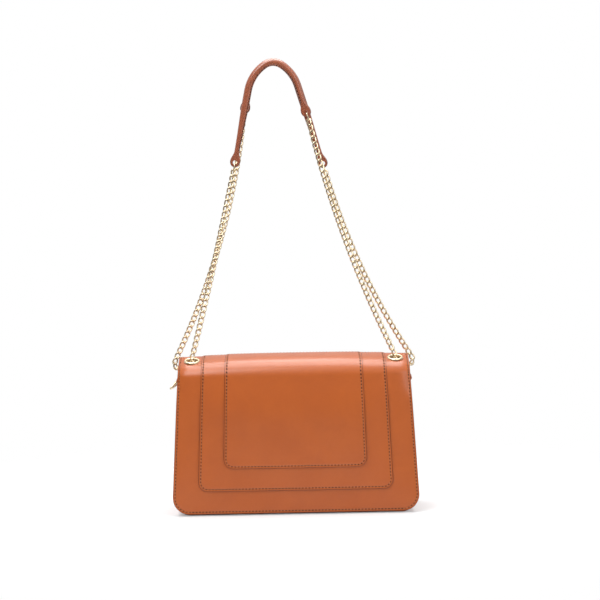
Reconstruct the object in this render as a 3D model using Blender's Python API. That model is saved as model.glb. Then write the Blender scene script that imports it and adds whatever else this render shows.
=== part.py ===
"""Leather flap handbag on a chain strap, as the separate pieces it is sewn and riveted from.

Metres, +Z up. The flap faces -Y, and the origin lies on the floor under the pouch.
"""
import math

import bmesh
import bpy
from mathutils import Matrix, Vector

# Overall sizes
BAG_HEIGHT = 0.158
POUCH_HALF_BASE = 0.1195
POUCH_HALF_TOP = 0.1127
POUCH_CORNER_R = 0.014
FRONT_PANEL_TOP = 0.126
LINING_TOP = 0.120
GAP = 0.0003
OVERRUN = 0.004

# Leather and board thicknesses
PANEL_T = 0.0020
GUSSET_T = 0.0016
FLAP_T = 0.0015
FLAP_LINING_T = 0.0010
OVERLAY_T = 0.0013
LINING_T = 0.0008
STIFFENER_T = 0.0016

# Flap, measured along its outer face
HINGE_Y = 0.020
FOLD_R = 0.014
CREST_R = 0.035
RIDGE_R = 0.013
SEAT_LENGTH = 0.017
TAIL_LENGTH = 0.032
HEM_Z = 0.002
RISE_ANGLE = math.radians(5)
SEAT_ANGLE = math.radians(14)
FRONT_ANGLE = math.radians(87)
FLAP_FOLD_OVERHANG = 0.0018
FLAP_RIDGE_OVERHANG = 0.0033
FLAP_HEM_OVERHANG = 0.0042
FLAP_CORNER_R = 0.0175
TAIL_CORNER_R = 0.010
TAIL_INSET = 0.0090
FLAP_LINING_INSET = 0.0008
HINGE_LEAD = 0.0035
HINGE_DROP = 0.0025

# Stitched overlays: how far each stands in from the flap below it
OVERLAY_SIDE_STEP = 0.0236
OVERLAY_FLARE = 0.0019
OVERLAY_HEM_STEP = 0.0225
OVERLAY_TOP_STEP = 0.0040
OVERLAY_CORNER_R = 0.010

# Gusset
FLANGE = 0.008
BOSS_R = 0.0104

# Eyelets
FLAP_EYELET_IN = 0.0112
FLAP_EYELET_R = 0.0080
FLAP_EYELET_BORE_R = 0.0055
FLAP_EYELET_DOME = 0.0020
GUSSET_EYELET_R = 0.0070
GUSSET_EYELET_BORE_R = 0.0042
GUSSET_EYELET_DOME = 0.0016
BARREL_WALL = 0.0007
LIP_T = 0.0006
LIP_W = 0.0011
WASHER_T = 0.0006

# Magnetic snap
SNAP_Z = 0.050
SNAP_R = 0.0090
SNAP_MALE_T = 0.0013
SNAP_FEMALE_T = 0.0019
SNAP_SOCKET_R = 0.0034
SNAP_SOCKET_DEPTH = 0.0014
SNAP_NUB_R = 0.0025
SNAP_NUB_TIP_R = 0.0017
SNAP_NUB_LENGTH = 0.0010
SNAP_SHANK_R = 0.0025
SNAP_WASHER_R = 0.0070

# Chain
LINK_PITCH = 0.0060
LINK_WIDTH = 0.0062
LINK_BASE = 0.0013
LINK_RIDGE = 0.0012
HOOK = 0.0003
LINK_TWIST = math.radians(45)
LEG_TURNS = (math.radians(55), math.radians(125))
PIVOT_RISE = 0.0044
CHAIN_EASE = 0.0085
REAR_CHAIN_OUT = 0.0085
REAR_CHAIN_START_IN = 0.0048
INNER_CHAIN_END_IN = 0.0074
INNER_CHAIN_RISE = 0.0008
INNER_CHAIN_DROP = 0.0090
ROLL_LINKS = 5
RUN_POINTS = 24

# Shoulder pads and the arch that they hang over
ARCH_TOP_Z = 0.4490
ARCH_TOP_X = -0.0149
ARCH_TOP_R = 0.0150
ARCH_SIDE_R = 0.0400
ARCH_TOP_ANGLE = math.radians(34.2)
ARCH_LEFT_ANGLE = math.radians(78.5)
ARCH_RIGHT_ANGLE = math.radians(73)
ARCH_LEG = 0.120
PAD_SPACING = 0.176
FRONT_PAD_SLIDE = -0.0245
REAR_PAD_SLIDE = 0.0295
PAD_THICKNESS = 0.0078
PAD_SIDE_GAP = 0.0008
TAB_LENGTH = 0.0140
TAB_WIDTH = 0.0100
TAB_T = 0.0020
TAB_HOLE_R = 0.0022
TAB_HOLE_IN = 0.0047
PAD_LINK_LENGTH = 0.0092
PAD_LINK_WIDTH = 0.0066
PAD_LINK_WIRE_D = 0.0014

# D-rings and their tabs
RING_BELOW_HINGE = 0.0081
RING_WIRE_D = 0.0022
RING_WIDTH = 0.0120
RING_DROP = 0.0112
RING_CORNER_R = 0.0016
RING_TILT = math.radians(6)
RING_LEFT_ANGLE = math.radians(-45)
RING_RIGHT_ANGLE = math.radians(97)
RING_TAB_WIDTH = 0.0108
RING_TAB_LENGTH = 0.0260
RING_TAB_LEATHER = 0.0012
RIVET_R = 0.0030
RIVET_DOME = 0.0013
RIVET_SHANK_R = 0.0014
RIVET_TAIL_T = 0.0008
RIVET_FROM_END = 0.0080

# Slip pocket on the back of the lining
POCKET_HALF = 0.0600
POCKET_LOW = 0.0400
POCKET_HIGH = 0.1050
POCKET_DEPTH = 0.0055

# Faceting
ARC_FACETS = 6
CORNER_FACETS = 5
EYELET_FACETS = 16
ROUND_FACETS = 14
PAD_FACETS = 8
PAD_STATIONS = 22

# Colour, roughness and metallic value of each finish
TAN = ((0.455, 0.125, 0.040), 0.42, 0.0)
PAD_BROWN = ((0.320, 0.095, 0.040), 0.45, 0.0)
LINING_BROWN = ((0.300, 0.150, 0.085), 0.85, 0.0)
BOARD_GREY = ((0.250, 0.220, 0.180), 0.90, 0.0)
PALE_GOLD = ((0.830, 0.640, 0.340), 0.25, 1.0)
STEEL = ((0.560, 0.560, 0.550), 0.35, 1.0)

# Share of the rivet head's radius and height where its crown starts
RIVET_CROWN_SHARES = (0.6, 0.8)
# Shares of the eyelet rim's width and dome height, from its bore outwards
RIM_SHARES = ((0.0, 0.55), (0.22, 0.90), (0.5, 1.0), (0.8, 0.72))
# Shares of the pad's tab length, its half width and its half thickness, from the tip
TAB_SHARES = (
    (0.0, 0.42, 1.0, 0.0),
    (0.10, 0.82, 1.0, 0.0),
    (0.33, 1.0, 1.0, 0.0),
    (0.62, 0.92, 1.0, 0.0),
    (1.0, 0.50, 1.0, 0.25),
)
# Shares of the pad's half length and of its thickness there
PAD_BODY_SHARES = ((0.25, 0.72), (0.45, 0.84), (0.62, 0.95), (0.78, 1.0), (0.9, 1.0))
# Share of each chain run's length by which its middle sags
FRONT_LEFT_SAG_SHARE = 0.006
FRONT_RIGHT_SAG_SHARE = 0.028
REAR_LEFT_SAG_SHARE = 0.044
REAR_RIGHT_SAG_SHARE = 0.040


def clear_scene():
    for old in list(bpy.data.objects):
        bpy.data.objects.remove(old, do_unlink=True)


def finish(thing, look):
    """Give a piece its own material."""
    colour, roughness, metallic = look
    material = bpy.data.materials.new(thing.name)
    material.use_nodes = True
    shader = material.node_tree.nodes["Principled BSDF"]
    shader.inputs["Base Color"].default_value = (*colour, 1.0)
    shader.inputs["Roughness"].default_value = roughness
    shader.inputs["Metallic"].default_value = metallic
    material.diffuse_color = (*colour, 1.0)
    thing.data.materials.clear()
    thing.data.materials.append(material)


def make(name, points, faces, look, smooth=None):
    """One closed mesh object, its faces turned outwards."""
    mesh = bpy.data.meshes.new(name)
    mesh.from_pydata([tuple(p) for p in points], [], faces)
    shape = bmesh.new()
    shape.from_mesh(mesh)
    bmesh.ops.recalc_face_normals(shape, faces=shape.faces)
    shape.to_mesh(mesh)
    shape.free()
    thing = bpy.data.objects.new(name, mesh)
    bpy.context.collection.objects.link(thing)
    finish(thing, look)
    if smooth is not None:
        mesh.shade_smooth()
        mesh.set_sharp_from_angle(angle=smooth)
    return thing


def combine(thing, other, operation):
    """Join or cut a piece with another, which is used up."""
    change = thing.modifiers.new(operation, "BOOLEAN")
    change.operation = operation
    change.solver = "EXACT"
    change.object = other
    bpy.context.view_layer.update()
    graph = bpy.context.evaluated_depsgraph_get()
    mesh = bpy.data.meshes.new_from_object(thing.evaluated_get(graph))
    thing.modifiers.remove(change)
    thing.data = mesh
    bpy.data.objects.remove(other, do_unlink=True)
    return thing


def prism_faces(count):
    """Faces of a solid whose two ends each have this many points."""
    sides = [(k, (k + 1) % count, count + (k + 1) % count, count + k) for k in range(count)]
    return [tuple(range(count)), tuple(range(2 * count - 1, count - 1, -1)), *sides]


def box(name, low, high, look):
    corners = [(low[0], low[1]), (high[0], low[1]), (high[0], high[1]), (low[0], high[1])]
    points = [(x, y, z) for z in (low[2], high[2]) for x, y in corners]
    return make(name, points, prism_faces(4), look)


def frame_about(centre, axis, side=None):
    """Places a turned piece, whose axis is its own +Z, along another axis."""
    z = Vector(axis).normalized()
    side = side or Vector((1, 0, 0) if abs(z.y) > abs(z.x) else (0, 1, 0))
    x = (side - side.dot(z) * z).normalized()
    turn = Matrix((x, z.cross(x), z)).transposed().to_4x4()
    return Matrix.Translation(Vector(centre)) @ turn


def turned(name, outline, place, facets, look):
    """A ring or a solid of revolution from its (radius, height) outline."""
    points = []
    rings = []
    for radius, height in outline:
        if radius == 0:
            rings.append([len(points)] * facets)
            points.append(place @ Vector((0, 0, height)))
            continue
        rings.append(list(range(len(points), len(points) + facets)))
        for k in range(facets):
            turn = math.tau * k / facets
            points.append(place @ Vector((radius * math.cos(turn), radius * math.sin(turn), height)))
    closed = outline[0][0] > 0 and outline[-1][0] > 0
    faces = []
    for low, high in zip(rings, rings[1:] + ([rings[0]] if closed else [])):
        for k in range(facets):
            face = (low[k], low[(k + 1) % facets], high[(k + 1) % facets], high[k])
            corners = tuple(dict.fromkeys(face))
            if len(corners) > 2:
                faces.append(corners)
    return make(name, points, faces, look, math.radians(40))


def drill(thing, centre, axis, radius, reach, facets=ROUND_FACETS):
    """Bore a round hole through a piece."""
    outline = ((0, -reach), (radius, -reach), (radius, reach), (0, reach))
    cutter = turned("drill", outline, frame_about(centre, axis), facets, STEEL)
    return combine(thing, cutter, "DIFFERENCE")


# Flap profile: a path in the YZ plane, walked from the tail's lower edge to the hem


def heading_vectors(heading):
    """Direction of travel and outward normal, as (y, z) pairs."""
    return (
        Vector((-math.cos(heading), math.sin(heading))),
        Vector((math.sin(heading), math.cos(heading))),
    )


def walk(start, heading, runs, distance):
    """Point and heading at a distance along straight and round runs (length, turn)."""
    point = Vector(start)
    for length, turn in runs:
        step = min(distance, length)
        along, out = heading_vectors(heading)
        if turn == 0:
            point = point + step * along
        else:
            radius = length / turn
            centre = point - radius * out
            heading = heading - turn * step / length
            point = centre + radius * heading_vectors(heading)[1]
        distance -= step
        if distance <= 0:
            break
    return point, heading


def stops(runs, low, high):
    """Distances of the profile's own facets between two distances."""
    found = [low]
    start = 0.0
    for length, turn in runs:
        count = ARC_FACETS if turn > math.radians(45) else max(1, round(ARC_FACETS / 2))
        pieces = count if turn else 1
        found += [start + length * (k + 1) / pieces for k in range(pieces)]
        start += length
    inside = [s for s in found if low < s < high]
    return [low, *inside, high]


FLAP_OUTER_CREST = BAG_HEIGHT - 2 * (OVERLAY_T + GAP)
TOP_LENGTH = (HINGE_Y + (FOLD_R - CREST_R) * math.sin(RISE_ANGLE)) / math.cos(RISE_ANGLE)
HINGE_Z = (
    FLAP_OUTER_CREST
    - FOLD_R * math.cos(RISE_ANGLE)
    - TOP_LENGTH * math.sin(RISE_ANGLE)
    - CREST_R * (1 - math.cos(RISE_ANGLE))
)
PROFILE_START = (HINGE_Y + FOLD_R, HINGE_Z - TAIL_LENGTH)
FOLD_TURN = math.pi / 2 - RISE_ANGLE
UPPER_RUNS = [
    (TAIL_LENGTH, 0),
    (FOLD_R * FOLD_TURN, FOLD_TURN),
    (TOP_LENGTH, 0),
    (CREST_R * (RISE_ANGLE + SEAT_ANGLE), RISE_ANGLE + SEAT_ANGLE),
    (SEAT_LENGTH, 0),
    (RIDGE_R * (FRONT_ANGLE - SEAT_ANGLE), FRONT_ANGLE - SEAT_ANGLE),
]
UPPER_LENGTH = sum(length for length, turn in UPPER_RUNS)
RIDGE_END = walk(PROFILE_START, math.pi / 2, UPPER_RUNS, UPPER_LENGTH)[0]
FRONT_LENGTH = (RIDGE_END[1] - HEM_Z) / math.sin(FRONT_ANGLE)
PROFILE = [*UPPER_RUNS, (FRONT_LENGTH, 0)]
PROFILE_LENGTH = UPPER_LENGTH + FRONT_LENGTH
TAIL_END = TAIL_LENGTH - HINGE_DROP
FOLD_END = TAIL_LENGTH + FOLD_R * FOLD_TURN
FLAP_START = FOLD_END + HINGE_LEAD
SEAT_MIDDLE = UPPER_LENGTH - UPPER_RUNS[5][0] - SEAT_LENGTH / 2
FLAP_EYELET_X = POUCH_HALF_TOP - FLAP_EYELET_IN
FLAP_HALF_FOLD = POUCH_HALF_TOP + FLAP_FOLD_OVERHANG
FLAP_HALF_RIDGE = POUCH_HALF_TOP + FLAP_RIDGE_OVERHANG
FLAP_HALF_HEM = POUCH_HALF_BASE + FLAP_HEM_OVERHANG


def on_flap(distance, depth=0.0):
    """Point (y, z) and outward normal of the flap, a depth below its outer face."""
    point, heading = walk(PROFILE_START, math.pi / 2, PROFILE, distance)
    out = heading_vectors(heading)[1]
    return point - depth * out, out


def flap_half_width(distance):
    """Half width of the flap at a distance along its profile."""
    if distance <= FOLD_END:
        return FLAP_HALF_FOLD
    if distance <= UPPER_LENGTH:
        share = (distance - FOLD_END) / (UPPER_LENGTH - FOLD_END)
        return FLAP_HALF_FOLD + share * (FLAP_HALF_RIDGE - FLAP_HALF_FOLD)
    share = (distance - UPPER_LENGTH) / FRONT_LENGTH
    return FLAP_HALF_RIDGE + share * (FLAP_HALF_HEM - FLAP_HALF_RIDGE)


def rounded(half_width, from_end, radius):
    """Half width near an edge with round corners."""
    if from_end >= radius:
        return half_width
    return half_width - radius + math.sqrt(max(0.0, radius**2 - (radius - from_end) ** 2))


def flap_sheet(name, low, high, inset, top, bottom, low_r, high_r, look, flare=0.0):
    """One leather layer that follows the flap, between two depths under its outer face."""
    distances = stops(PROFILE, low, high)
    for k in range(1, CORNER_FACETS + 1):
        swing = math.pi / 2 * k / CORNER_FACETS
        distances += [low + low_r * (1 - math.cos(swing))] if low_r else []
        distances += [high - high_r * (1 - math.cos(swing))] if high_r else []
    distances = sorted(distances)
    spaced = [distances[0]]
    for distance in distances[1:]:
        if distance - spaced[-1] > GAP:
            spaced.append(distance)
    points = []
    for distance in spaced:
        below_ridge = max(0.0, distance - UPPER_LENGTH) / FRONT_LENGTH
        half = flap_half_width(distance) - inset - flare * below_ridge
        half = rounded(half, distance - low, low_r) if low_r else half
        half = rounded(half, high - distance, high_r) if high_r else half
        for depth in (top, bottom):
            (y, z), out = on_flap(distance, depth)
            points += [(-half, y, z), (half, y, z)]
    faces = []
    for k in range(len(spaced) - 1):
        a = 4 * k
        faces += [(a, a + 1, a + 5, a + 4), (a + 2, a + 6, a + 7, a + 3)]
        faces += [(a, a + 4, a + 6, a + 2), (a + 1, a + 3, a + 7, a + 5)]
    last = 4 * (len(spaced) - 1)
    faces += [(0, 2, 3, 1), (last, last + 1, last + 3, last + 2)]
    return make(name, points, faces, look, math.radians(40))


# Pouch

SIDE_LEAN = math.atan((POUCH_HALF_BASE - POUCH_HALF_TOP) / HINGE_Z)
CLOSURE_GAP = 3 * GAP + SNAP_MALE_T + SNAP_FEMALE_T
FLAP_STACK = FLAP_T + GAP + FLAP_LINING_T
BACK_OUTER_Y = HINGE_Y + FOLD_R - FLAP_T - GAP
BACK_INNER_Y = BACK_OUTER_Y - PANEL_T
GUSSET_BACK_Y = BACK_INNER_Y - GAP
BACK_TOP = HINGE_Z - HINGE_DROP
FRONT_DEPTH = FLAP_STACK + CLOSURE_GAP


def front_y(z, depth):
    """Y of the sloping front, a depth inside the flap's outer face."""
    (hem_y, hem_z), out = on_flap(PROFILE_LENGTH)
    lean = math.pi / 2 - FRONT_ANGLE
    return hem_y + (z - hem_z) * math.tan(lean) + depth / math.cos(lean)


def side_x(z, inset=0.0):
    """Half width of the pouch at a height."""
    return POUCH_HALF_BASE - z * math.tan(SIDE_LEAN) - inset / math.cos(SIDE_LEAN)


def pouch_outline(top, inset=0.0):
    """Front outline (x, z) of the pouch: down the left side, round the base and up again."""
    r = POUCH_CORNER_R
    centre_x = side_x(r) - r / math.cos(SIDE_LEAN)
    right = []
    for k in range(CORNER_FACETS + 1):
        turn = -math.pi / 2 + (math.pi / 2 + SIDE_LEAN) * k / CORNER_FACETS
        right.append((centre_x + (r - inset) * math.cos(turn), r + (r - inset) * math.sin(turn)))
    right.append((side_x(top, inset), top))
    return [(-x, z) for x, z in reversed(right)] + right


def slab(name, outline, near, far, look):
    """A flat piece between two faces, each a function of height."""
    points = [(x, near(z), z) for x, z in outline] + [(x, far(z), z) for x, z in outline]
    return make(name, points, prism_faces(len(outline)), look, math.radians(40))


def front_panel():
    inner = FRONT_DEPTH + PANEL_T
    panel = slab(
        "front_panel",
        pouch_outline(FRONT_PANEL_TOP),
        lambda z: front_y(z, FRONT_DEPTH),
        lambda z: front_y(z, inner),
        TAN,
    )
    return drill(panel, snap_centre(FRONT_DEPTH), snap_axis(), SNAP_SHANK_R + GAP, PANEL_T * 2)


def back_panel():
    outline = pouch_outline(BACK_TOP)
    return slab("back_panel", outline, lambda z: BACK_INNER_Y, lambda z: BACK_OUTER_Y, TAN)


def gusset_section(x, z, inward, depth):
    """The channel section at one point of the outline, flanges turned inwards."""
    layout = (
        (0, depth),
        (0, None),
        (FLANGE, None),
        (FLANGE, -GUSSET_T),
        (GUSSET_T, -GUSSET_T),
        (GUSSET_T, depth + GUSSET_T),
        (FLANGE, depth + GUSSET_T),
        (FLANGE, depth),
    )
    points = []
    for inset, into in layout:
        at_z = z + inset * inward[1]
        if into is None:
            y = GUSSET_BACK_Y
        else:
            y = GUSSET_BACK_Y + into if into < 0 else front_y(at_z, into)
        points.append((x + inset * inward[0], y, at_z))
    return points


def gusset():
    """The U-shaped strip that joins both panels and is the base."""
    top = HINGE_Z + BOSS_R + OVERRUN
    outer = pouch_outline(top)
    inner = pouch_outline(top, FLANGE)
    depth = FRONT_DEPTH + PANEL_T + GAP
    points = []
    for (x, z), (to_x, to_z) in zip(outer, inner):
        inward = ((to_x - x) / FLANGE, (to_z - z) / FLANGE)
        points += gusset_section(x, z, inward, depth)
    faces = [tuple(range(7, -1, -1)), tuple(range(len(points) - 8, len(points)))]
    for ring in range(len(outer) - 1):
        for k in range(8):
            a = 8 * ring + k
            b = 8 * ring + (k + 1) % 8
            faces.append((a, b, b + 8, a + 8))
    strip = make("gusset", points, faces, TAN, math.radians(40))
    combine(strip, gusset_top_cutter(top), "DIFFERENCE")
    for side in (-1, 1):
        drill(strip, gusset_eyelet_centre(side), web_normal(side), GUSSET_BARREL_R + GAP, OVERRUN)
        drill(strip, rivet_centre(side), web_normal(side), RIVET_SHANK_R + GAP, OVERRUN)
    return strip


def gusset_top_cutter(top):
    """What is cut from above the gusset: a slope at the front and a round boss at the hinge."""
    near = front_y(FRONT_PANEL_TOP, FRONT_DEPTH)
    run = HINGE_Y - near
    rise = HINGE_Z - FRONT_PANEL_TOP
    slope = math.atan2(rise, run) + math.asin(BOSS_R / math.hypot(run, rise))
    edge = [(near, FRONT_PANEL_TOP)]
    for k in range(ARC_FACETS + 1):
        turn = math.pi / 2 + slope - (math.pi / 2 + slope) * k / ARC_FACETS
        edge.append((HINGE_Y + BOSS_R * math.cos(turn), HINGE_Z + BOSS_R * math.sin(turn)))
    outside = [(edge[-1][0] + OVERRUN, HINGE_Z), (edge[-1][0] + OVERRUN, top + OVERRUN)]
    outside += [(near - OVERRUN, top + OVERRUN), (near - OVERRUN, FRONT_PANEL_TOP)]
    outline = edge + outside
    reach = POUCH_HALF_BASE + OVERRUN
    points = [(-reach, y, z) for y, z in outline] + [(reach, y, z) for y, z in outline]
    return make("gusset_top_cutter", points, prism_faces(len(outline)), TAN)


def base_stiffener():
    low = GUSSET_T + GAP
    inset = FRONT_DEPTH + PANEL_T + GAP + GUSSET_T + GAP
    half = side_x(0) - POUCH_CORNER_R
    near = front_y(low + STIFFENER_T, inset)
    far = GUSSET_BACK_Y - GUSSET_T - GAP
    corners = ((-half, near, low), (half, far, low + STIFFENER_T))
    return box("base_stiffener", corners[0], corners[1], BOARD_GREY)


LINING_INSET = GUSSET_T + GAP + STIFFENER_T + GAP
LINING_DEPTH = FRONT_DEPTH + PANEL_T + GAP + GUSSET_T + GAP
LINING_BACK_Y = GUSSET_BACK_Y - GUSSET_T - GAP


def lining():
    """The open bag of lining cloth that hangs inside the pouch."""
    whole = slab(
        "lining",
        pouch_outline(LINING_TOP, LINING_INSET),
        lambda z: front_y(z, LINING_DEPTH),
        lambda z: LINING_BACK_Y,
        LINING_BROWN,
    )
    hollow = slab(
        "lining_hollow",
        pouch_outline(LINING_TOP + OVERRUN, LINING_INSET + LINING_T),
        lambda z: front_y(z, LINING_DEPTH + LINING_T),
        lambda z: LINING_BACK_Y - LINING_T,
        LINING_BROWN,
    )
    return combine(whole, hollow, "DIFFERENCE")


def slip_pocket():
    far = LINING_BACK_Y - LINING_T - GAP
    near = far - POCKET_DEPTH - LINING_T
    half = POCKET_HALF
    pocket = box("slip_pocket", (-half, near, POCKET_LOW), (half, far, POCKET_HIGH), LINING_BROWN)
    inner = half - LINING_T
    low = (-inner, near + LINING_T, POCKET_LOW + LINING_T)
    hollow = box("pocket_hollow", low, (inner, far + OVERRUN, POCKET_HIGH + OVERRUN), LINING_BROWN)
    return combine(pocket, hollow, "DIFFERENCE")


def web_normal(side):
    """Outward direction of the gusset's side wall."""
    return Vector((side * math.cos(SIDE_LEAN), 0, math.sin(SIDE_LEAN)))


def gusset_eyelet_centre(side):
    return Vector((side * side_x(HINGE_Z), HINGE_Y, HINGE_Z))


# Flap


def seat(depth=0.0):
    """Middle of the sloping eyelet seat, as a point (0, y, z) and its normal."""
    (y, z), out = on_flap(SEAT_MIDDLE, depth)
    return Vector((0, y, z)), Vector((0, *out))


def flap_eyelet_centre(side):
    return seat()[0] + Vector((side * FLAP_EYELET_X, 0, 0))


def flap_layer(name, depth, thickness, inset, look):
    """A full layer of the flap, with its two eyelet holes."""
    low = FLAP_START + inset
    high = PROFILE_LENGTH - inset
    corner = FLAP_CORNER_R - inset
    layer = flap_sheet(name, low, high, inset, depth, depth + thickness, 0, corner, look)
    for side in (-1, 1):
        drill(layer, flap_eyelet_centre(side), seat()[1], FLAP_BARREL_R + GAP, OVERRUN, EYELET_FACETS)
    return layer


def overlay(name, level, look):
    """One of the stacked overlays, stitched on top of the layer below it."""
    low = FLAP_START + level * OVERLAY_TOP_STEP
    high = PROFILE_LENGTH - level * OVERLAY_HEM_STEP
    top = -level * (GAP + OVERLAY_T)
    inset = level * OVERLAY_SIDE_STEP
    r = OVERLAY_CORNER_R
    flare = level * OVERLAY_FLARE
    return flap_sheet(name, low, high, inset, top, top + OVERLAY_T, r, r, look, flare)


def flap_tail():
    """The stretch of the flap that is sewn to the back panel."""
    return flap_sheet("flap_tail", 0, TAIL_END, TAIL_INSET, 0, FLAP_T, TAIL_CORNER_R, 0, TAN)


def flap_fold():
    """The soft stretch that bends when the flap opens."""
    low = TAIL_END + GAP
    return flap_sheet("flap_fold", low, FLAP_START - GAP, 0, 0, FLAP_T, 0, 0, TAN)


# Eyelets, washers and snap

FLAP_BARREL_R = FLAP_EYELET_BORE_R + BARREL_WALL
GUSSET_BARREL_R = GUSSET_EYELET_BORE_R + BARREL_WALL
SNAP_CHAMFER = SNAP_MALE_T / 3


def eyelet(name, place, rim_r, bore_r, dome, stack):
    """A domed rim with a barrel that is rolled over a washer behind the leather."""
    lip = -(stack + 2 * GAP + WASHER_T)
    barrel_r = bore_r + BARREL_WALL
    width = rim_r - bore_r
    outline = [(bore_r, lip - LIP_T)]
    outline += [(bore_r + width * across, GAP + dome * up) for across, up in RIM_SHARES]
    outline += [(rim_r, GAP), (barrel_r, GAP), (barrel_r, lip)]
    outline += [(barrel_r + LIP_W, lip), (barrel_r + LIP_W, lip - LIP_T)]
    return turned(name, outline, place, EYELET_FACETS, PALE_GOLD)


def washer(name, place, rim_r, barrel_r, stack):
    top = -(stack + GAP)
    bore = barrel_r + GAP
    outline = [(bore, top), (rim_r, top), (rim_r, top - WASHER_T), (bore, top - WASHER_T)]
    return turned(name, outline, place, EYELET_FACETS, STEEL)


def side_name(side):
    return "left" if side < 0 else "right"


def flap_eyelets():
    pieces = []
    for side in (-1, 1):
        place = frame_about(flap_eyelet_centre(side), seat()[1], Vector((1, 0, 0)))
        name = side_name(side)
        rim = FLAP_EYELET_R
        bore = FLAP_EYELET_BORE_R
        pieces.append(
            eyelet(f"flap_eyelet_{name}", place, rim, bore, FLAP_EYELET_DOME, FLAP_STACK)
        )
        pieces.append(washer(f"flap_washer_{name}", place, rim, FLAP_BARREL_R, FLAP_STACK))
    return pieces


def gusset_eyelets():
    pieces = []
    for side in (-1, 1):
        place = frame_about(gusset_eyelet_centre(side), web_normal(side))
        name = side_name(side)
        rim = GUSSET_EYELET_R
        bore = GUSSET_EYELET_BORE_R
        pieces.append(
            eyelet(f"gusset_eyelet_{name}", place, rim, bore, GUSSET_EYELET_DOME, GUSSET_T)
        )
        pieces.append(washer(f"gusset_washer_{name}", place, rim, GUSSET_BARREL_R, GUSSET_T))
    return pieces


def snap_axis():
    return Vector((0, *on_flap(PROFILE_LENGTH)[1]))


def snap_centre(depth):
    """Point on the snap's axis, a depth inside the flap's outer face."""
    return Vector((0, front_y(SNAP_Z, 0), SNAP_Z)) - depth * snap_axis()


def snap():
    """The magnetic snap: a socket riveted to the front panel and a stud on the flap lining."""
    side = Vector((1, 0, 0))
    place = frame_about(snap_centre(FRONT_DEPTH), snap_axis(), side)
    top = GAP + SNAP_FEMALE_T
    floor = top - SNAP_SOCKET_DEPTH
    back = -(PANEL_T + GAP + WASHER_T)
    outline = [(0, floor), (SNAP_SOCKET_R, floor), (SNAP_SOCKET_R, top)]
    outline += [(SNAP_R - SNAP_CHAMFER, top), (SNAP_R, top - SNAP_CHAMFER), (SNAP_R, GAP)]
    outline += [(SNAP_SHANK_R, GAP), (SNAP_SHANK_R, back), (0, back)]
    socket = turned("snap_socket", outline, place, EYELET_FACETS, PALE_GOLD)
    disc = washer("snap_washer", place, SNAP_WASHER_R, SNAP_SHANK_R, PANEL_T)

    place = frame_about(snap_centre(FLAP_STACK), -snap_axis(), side)
    top = GAP + SNAP_MALE_T
    outline = [(0, GAP), (SNAP_R - SNAP_CHAMFER, GAP), (SNAP_R, GAP + SNAP_CHAMFER)]
    outline += [(SNAP_R, top), (SNAP_NUB_R, top), (SNAP_NUB_TIP_R, top + SNAP_NUB_LENGTH)]
    outline += [(0, top + SNAP_NUB_LENGTH)]
    stud = turned("snap_stud", outline, place, EYELET_FACETS, PALE_GOLD)
    return [socket, disc], stud


# Rings of wire: chain links, pad links and D-rings


def wire_loop(points, outs, radius, sides):
    """Points and faces of a closed wire that follows a centreline."""
    count = len(points)
    verts = []
    for k, (point, out) in enumerate(zip(points, outs)):
        along = (points[(k + 1) % count] - points[k - 1]).normalized()
        out = (out - out.dot(along) * along).normalized()
        across = along.cross(out)
        for j in range(sides):
            turn = math.tau * j / sides
            verts.append(point + radius * (math.cos(turn) * out + math.sin(turn) * across))
    faces = []
    for k in range(count):
        for j in range(sides):
            a = k * sides + j
            b = k * sides + (j + 1) % sides
            shift = (k + 1) % count * sides - k * sides
            faces.append((a, b, b + shift, a + shift))
    return verts, faces


def flat_ring(name, outline, centre, right, up, radius, sides, look):
    """A ring of wire in one plane, from its centreline (right, up)."""
    points = [centre + a * right + b * up for a, b in outline]
    normal = right.cross(up)
    count = len(points)
    outs = [(points[(k + 1) % count] - points[k - 1]).cross(normal) for k in range(count)]
    verts, faces = wire_loop(points, outs, radius, sides)
    return make(name, verts, faces, look, math.radians(60))


class Route:
    """A smooth line, read by distance from its start."""

    def __init__(self, points):
        self.points = points
        self.marks = [0.0]
        for before, after in zip(points, points[1:]):
            self.marks.append(self.marks[-1] + (after - before).length)
        self.length = self.marks[-1]

    def at(self, distance):
        for k in range(1, len(self.marks)):
            if distance <= self.marks[k] or k == len(self.marks) - 1:
                share = (distance - self.marks[k - 1]) / (self.marks[k] - self.marks[k - 1])
                return self.points[k - 1].lerp(self.points[k], share)


def link_frame(route, distance, roll):
    """Where two links meet: the seat's middle, the run's direction and the links' flat side."""
    reach = LINK_BASE / 2
    along = (route.at(distance + reach) - route.at(distance - reach)).normalized()
    flat = Vector((0, 1, 0)).cross(along).normalized()
    return route.at(distance), along, Matrix.Rotation(roll, 3, along) @ flat


def turned_side(frame, twist):
    """A link's flat side, turned about the run by its twist."""
    place, along, flat = frame
    return math.cos(twist) * flat + math.sin(twist) * along.cross(flat)


def bight(frame, is_upper, seat_corners, points):
    """The two sections at a link's end; their inner corners are the seat that both links share."""
    place, along, flat = frame
    sign = 1 if is_upper else -1
    travel = sign * turned_side(frame, sign * LINK_TWIST)
    rings = []
    for step in (-1, 1):
        points.append(place + step * LINK_BASE / 2 * travel + sign * LINK_RIDGE * along)
        inner = [(step, -1), (step, 1)] if is_upper else [(1, -step), (-1, -step)]
        rings.append([len(points) - 1, *[seat_corners[corner] for corner in inner]])
    return rings


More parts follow.
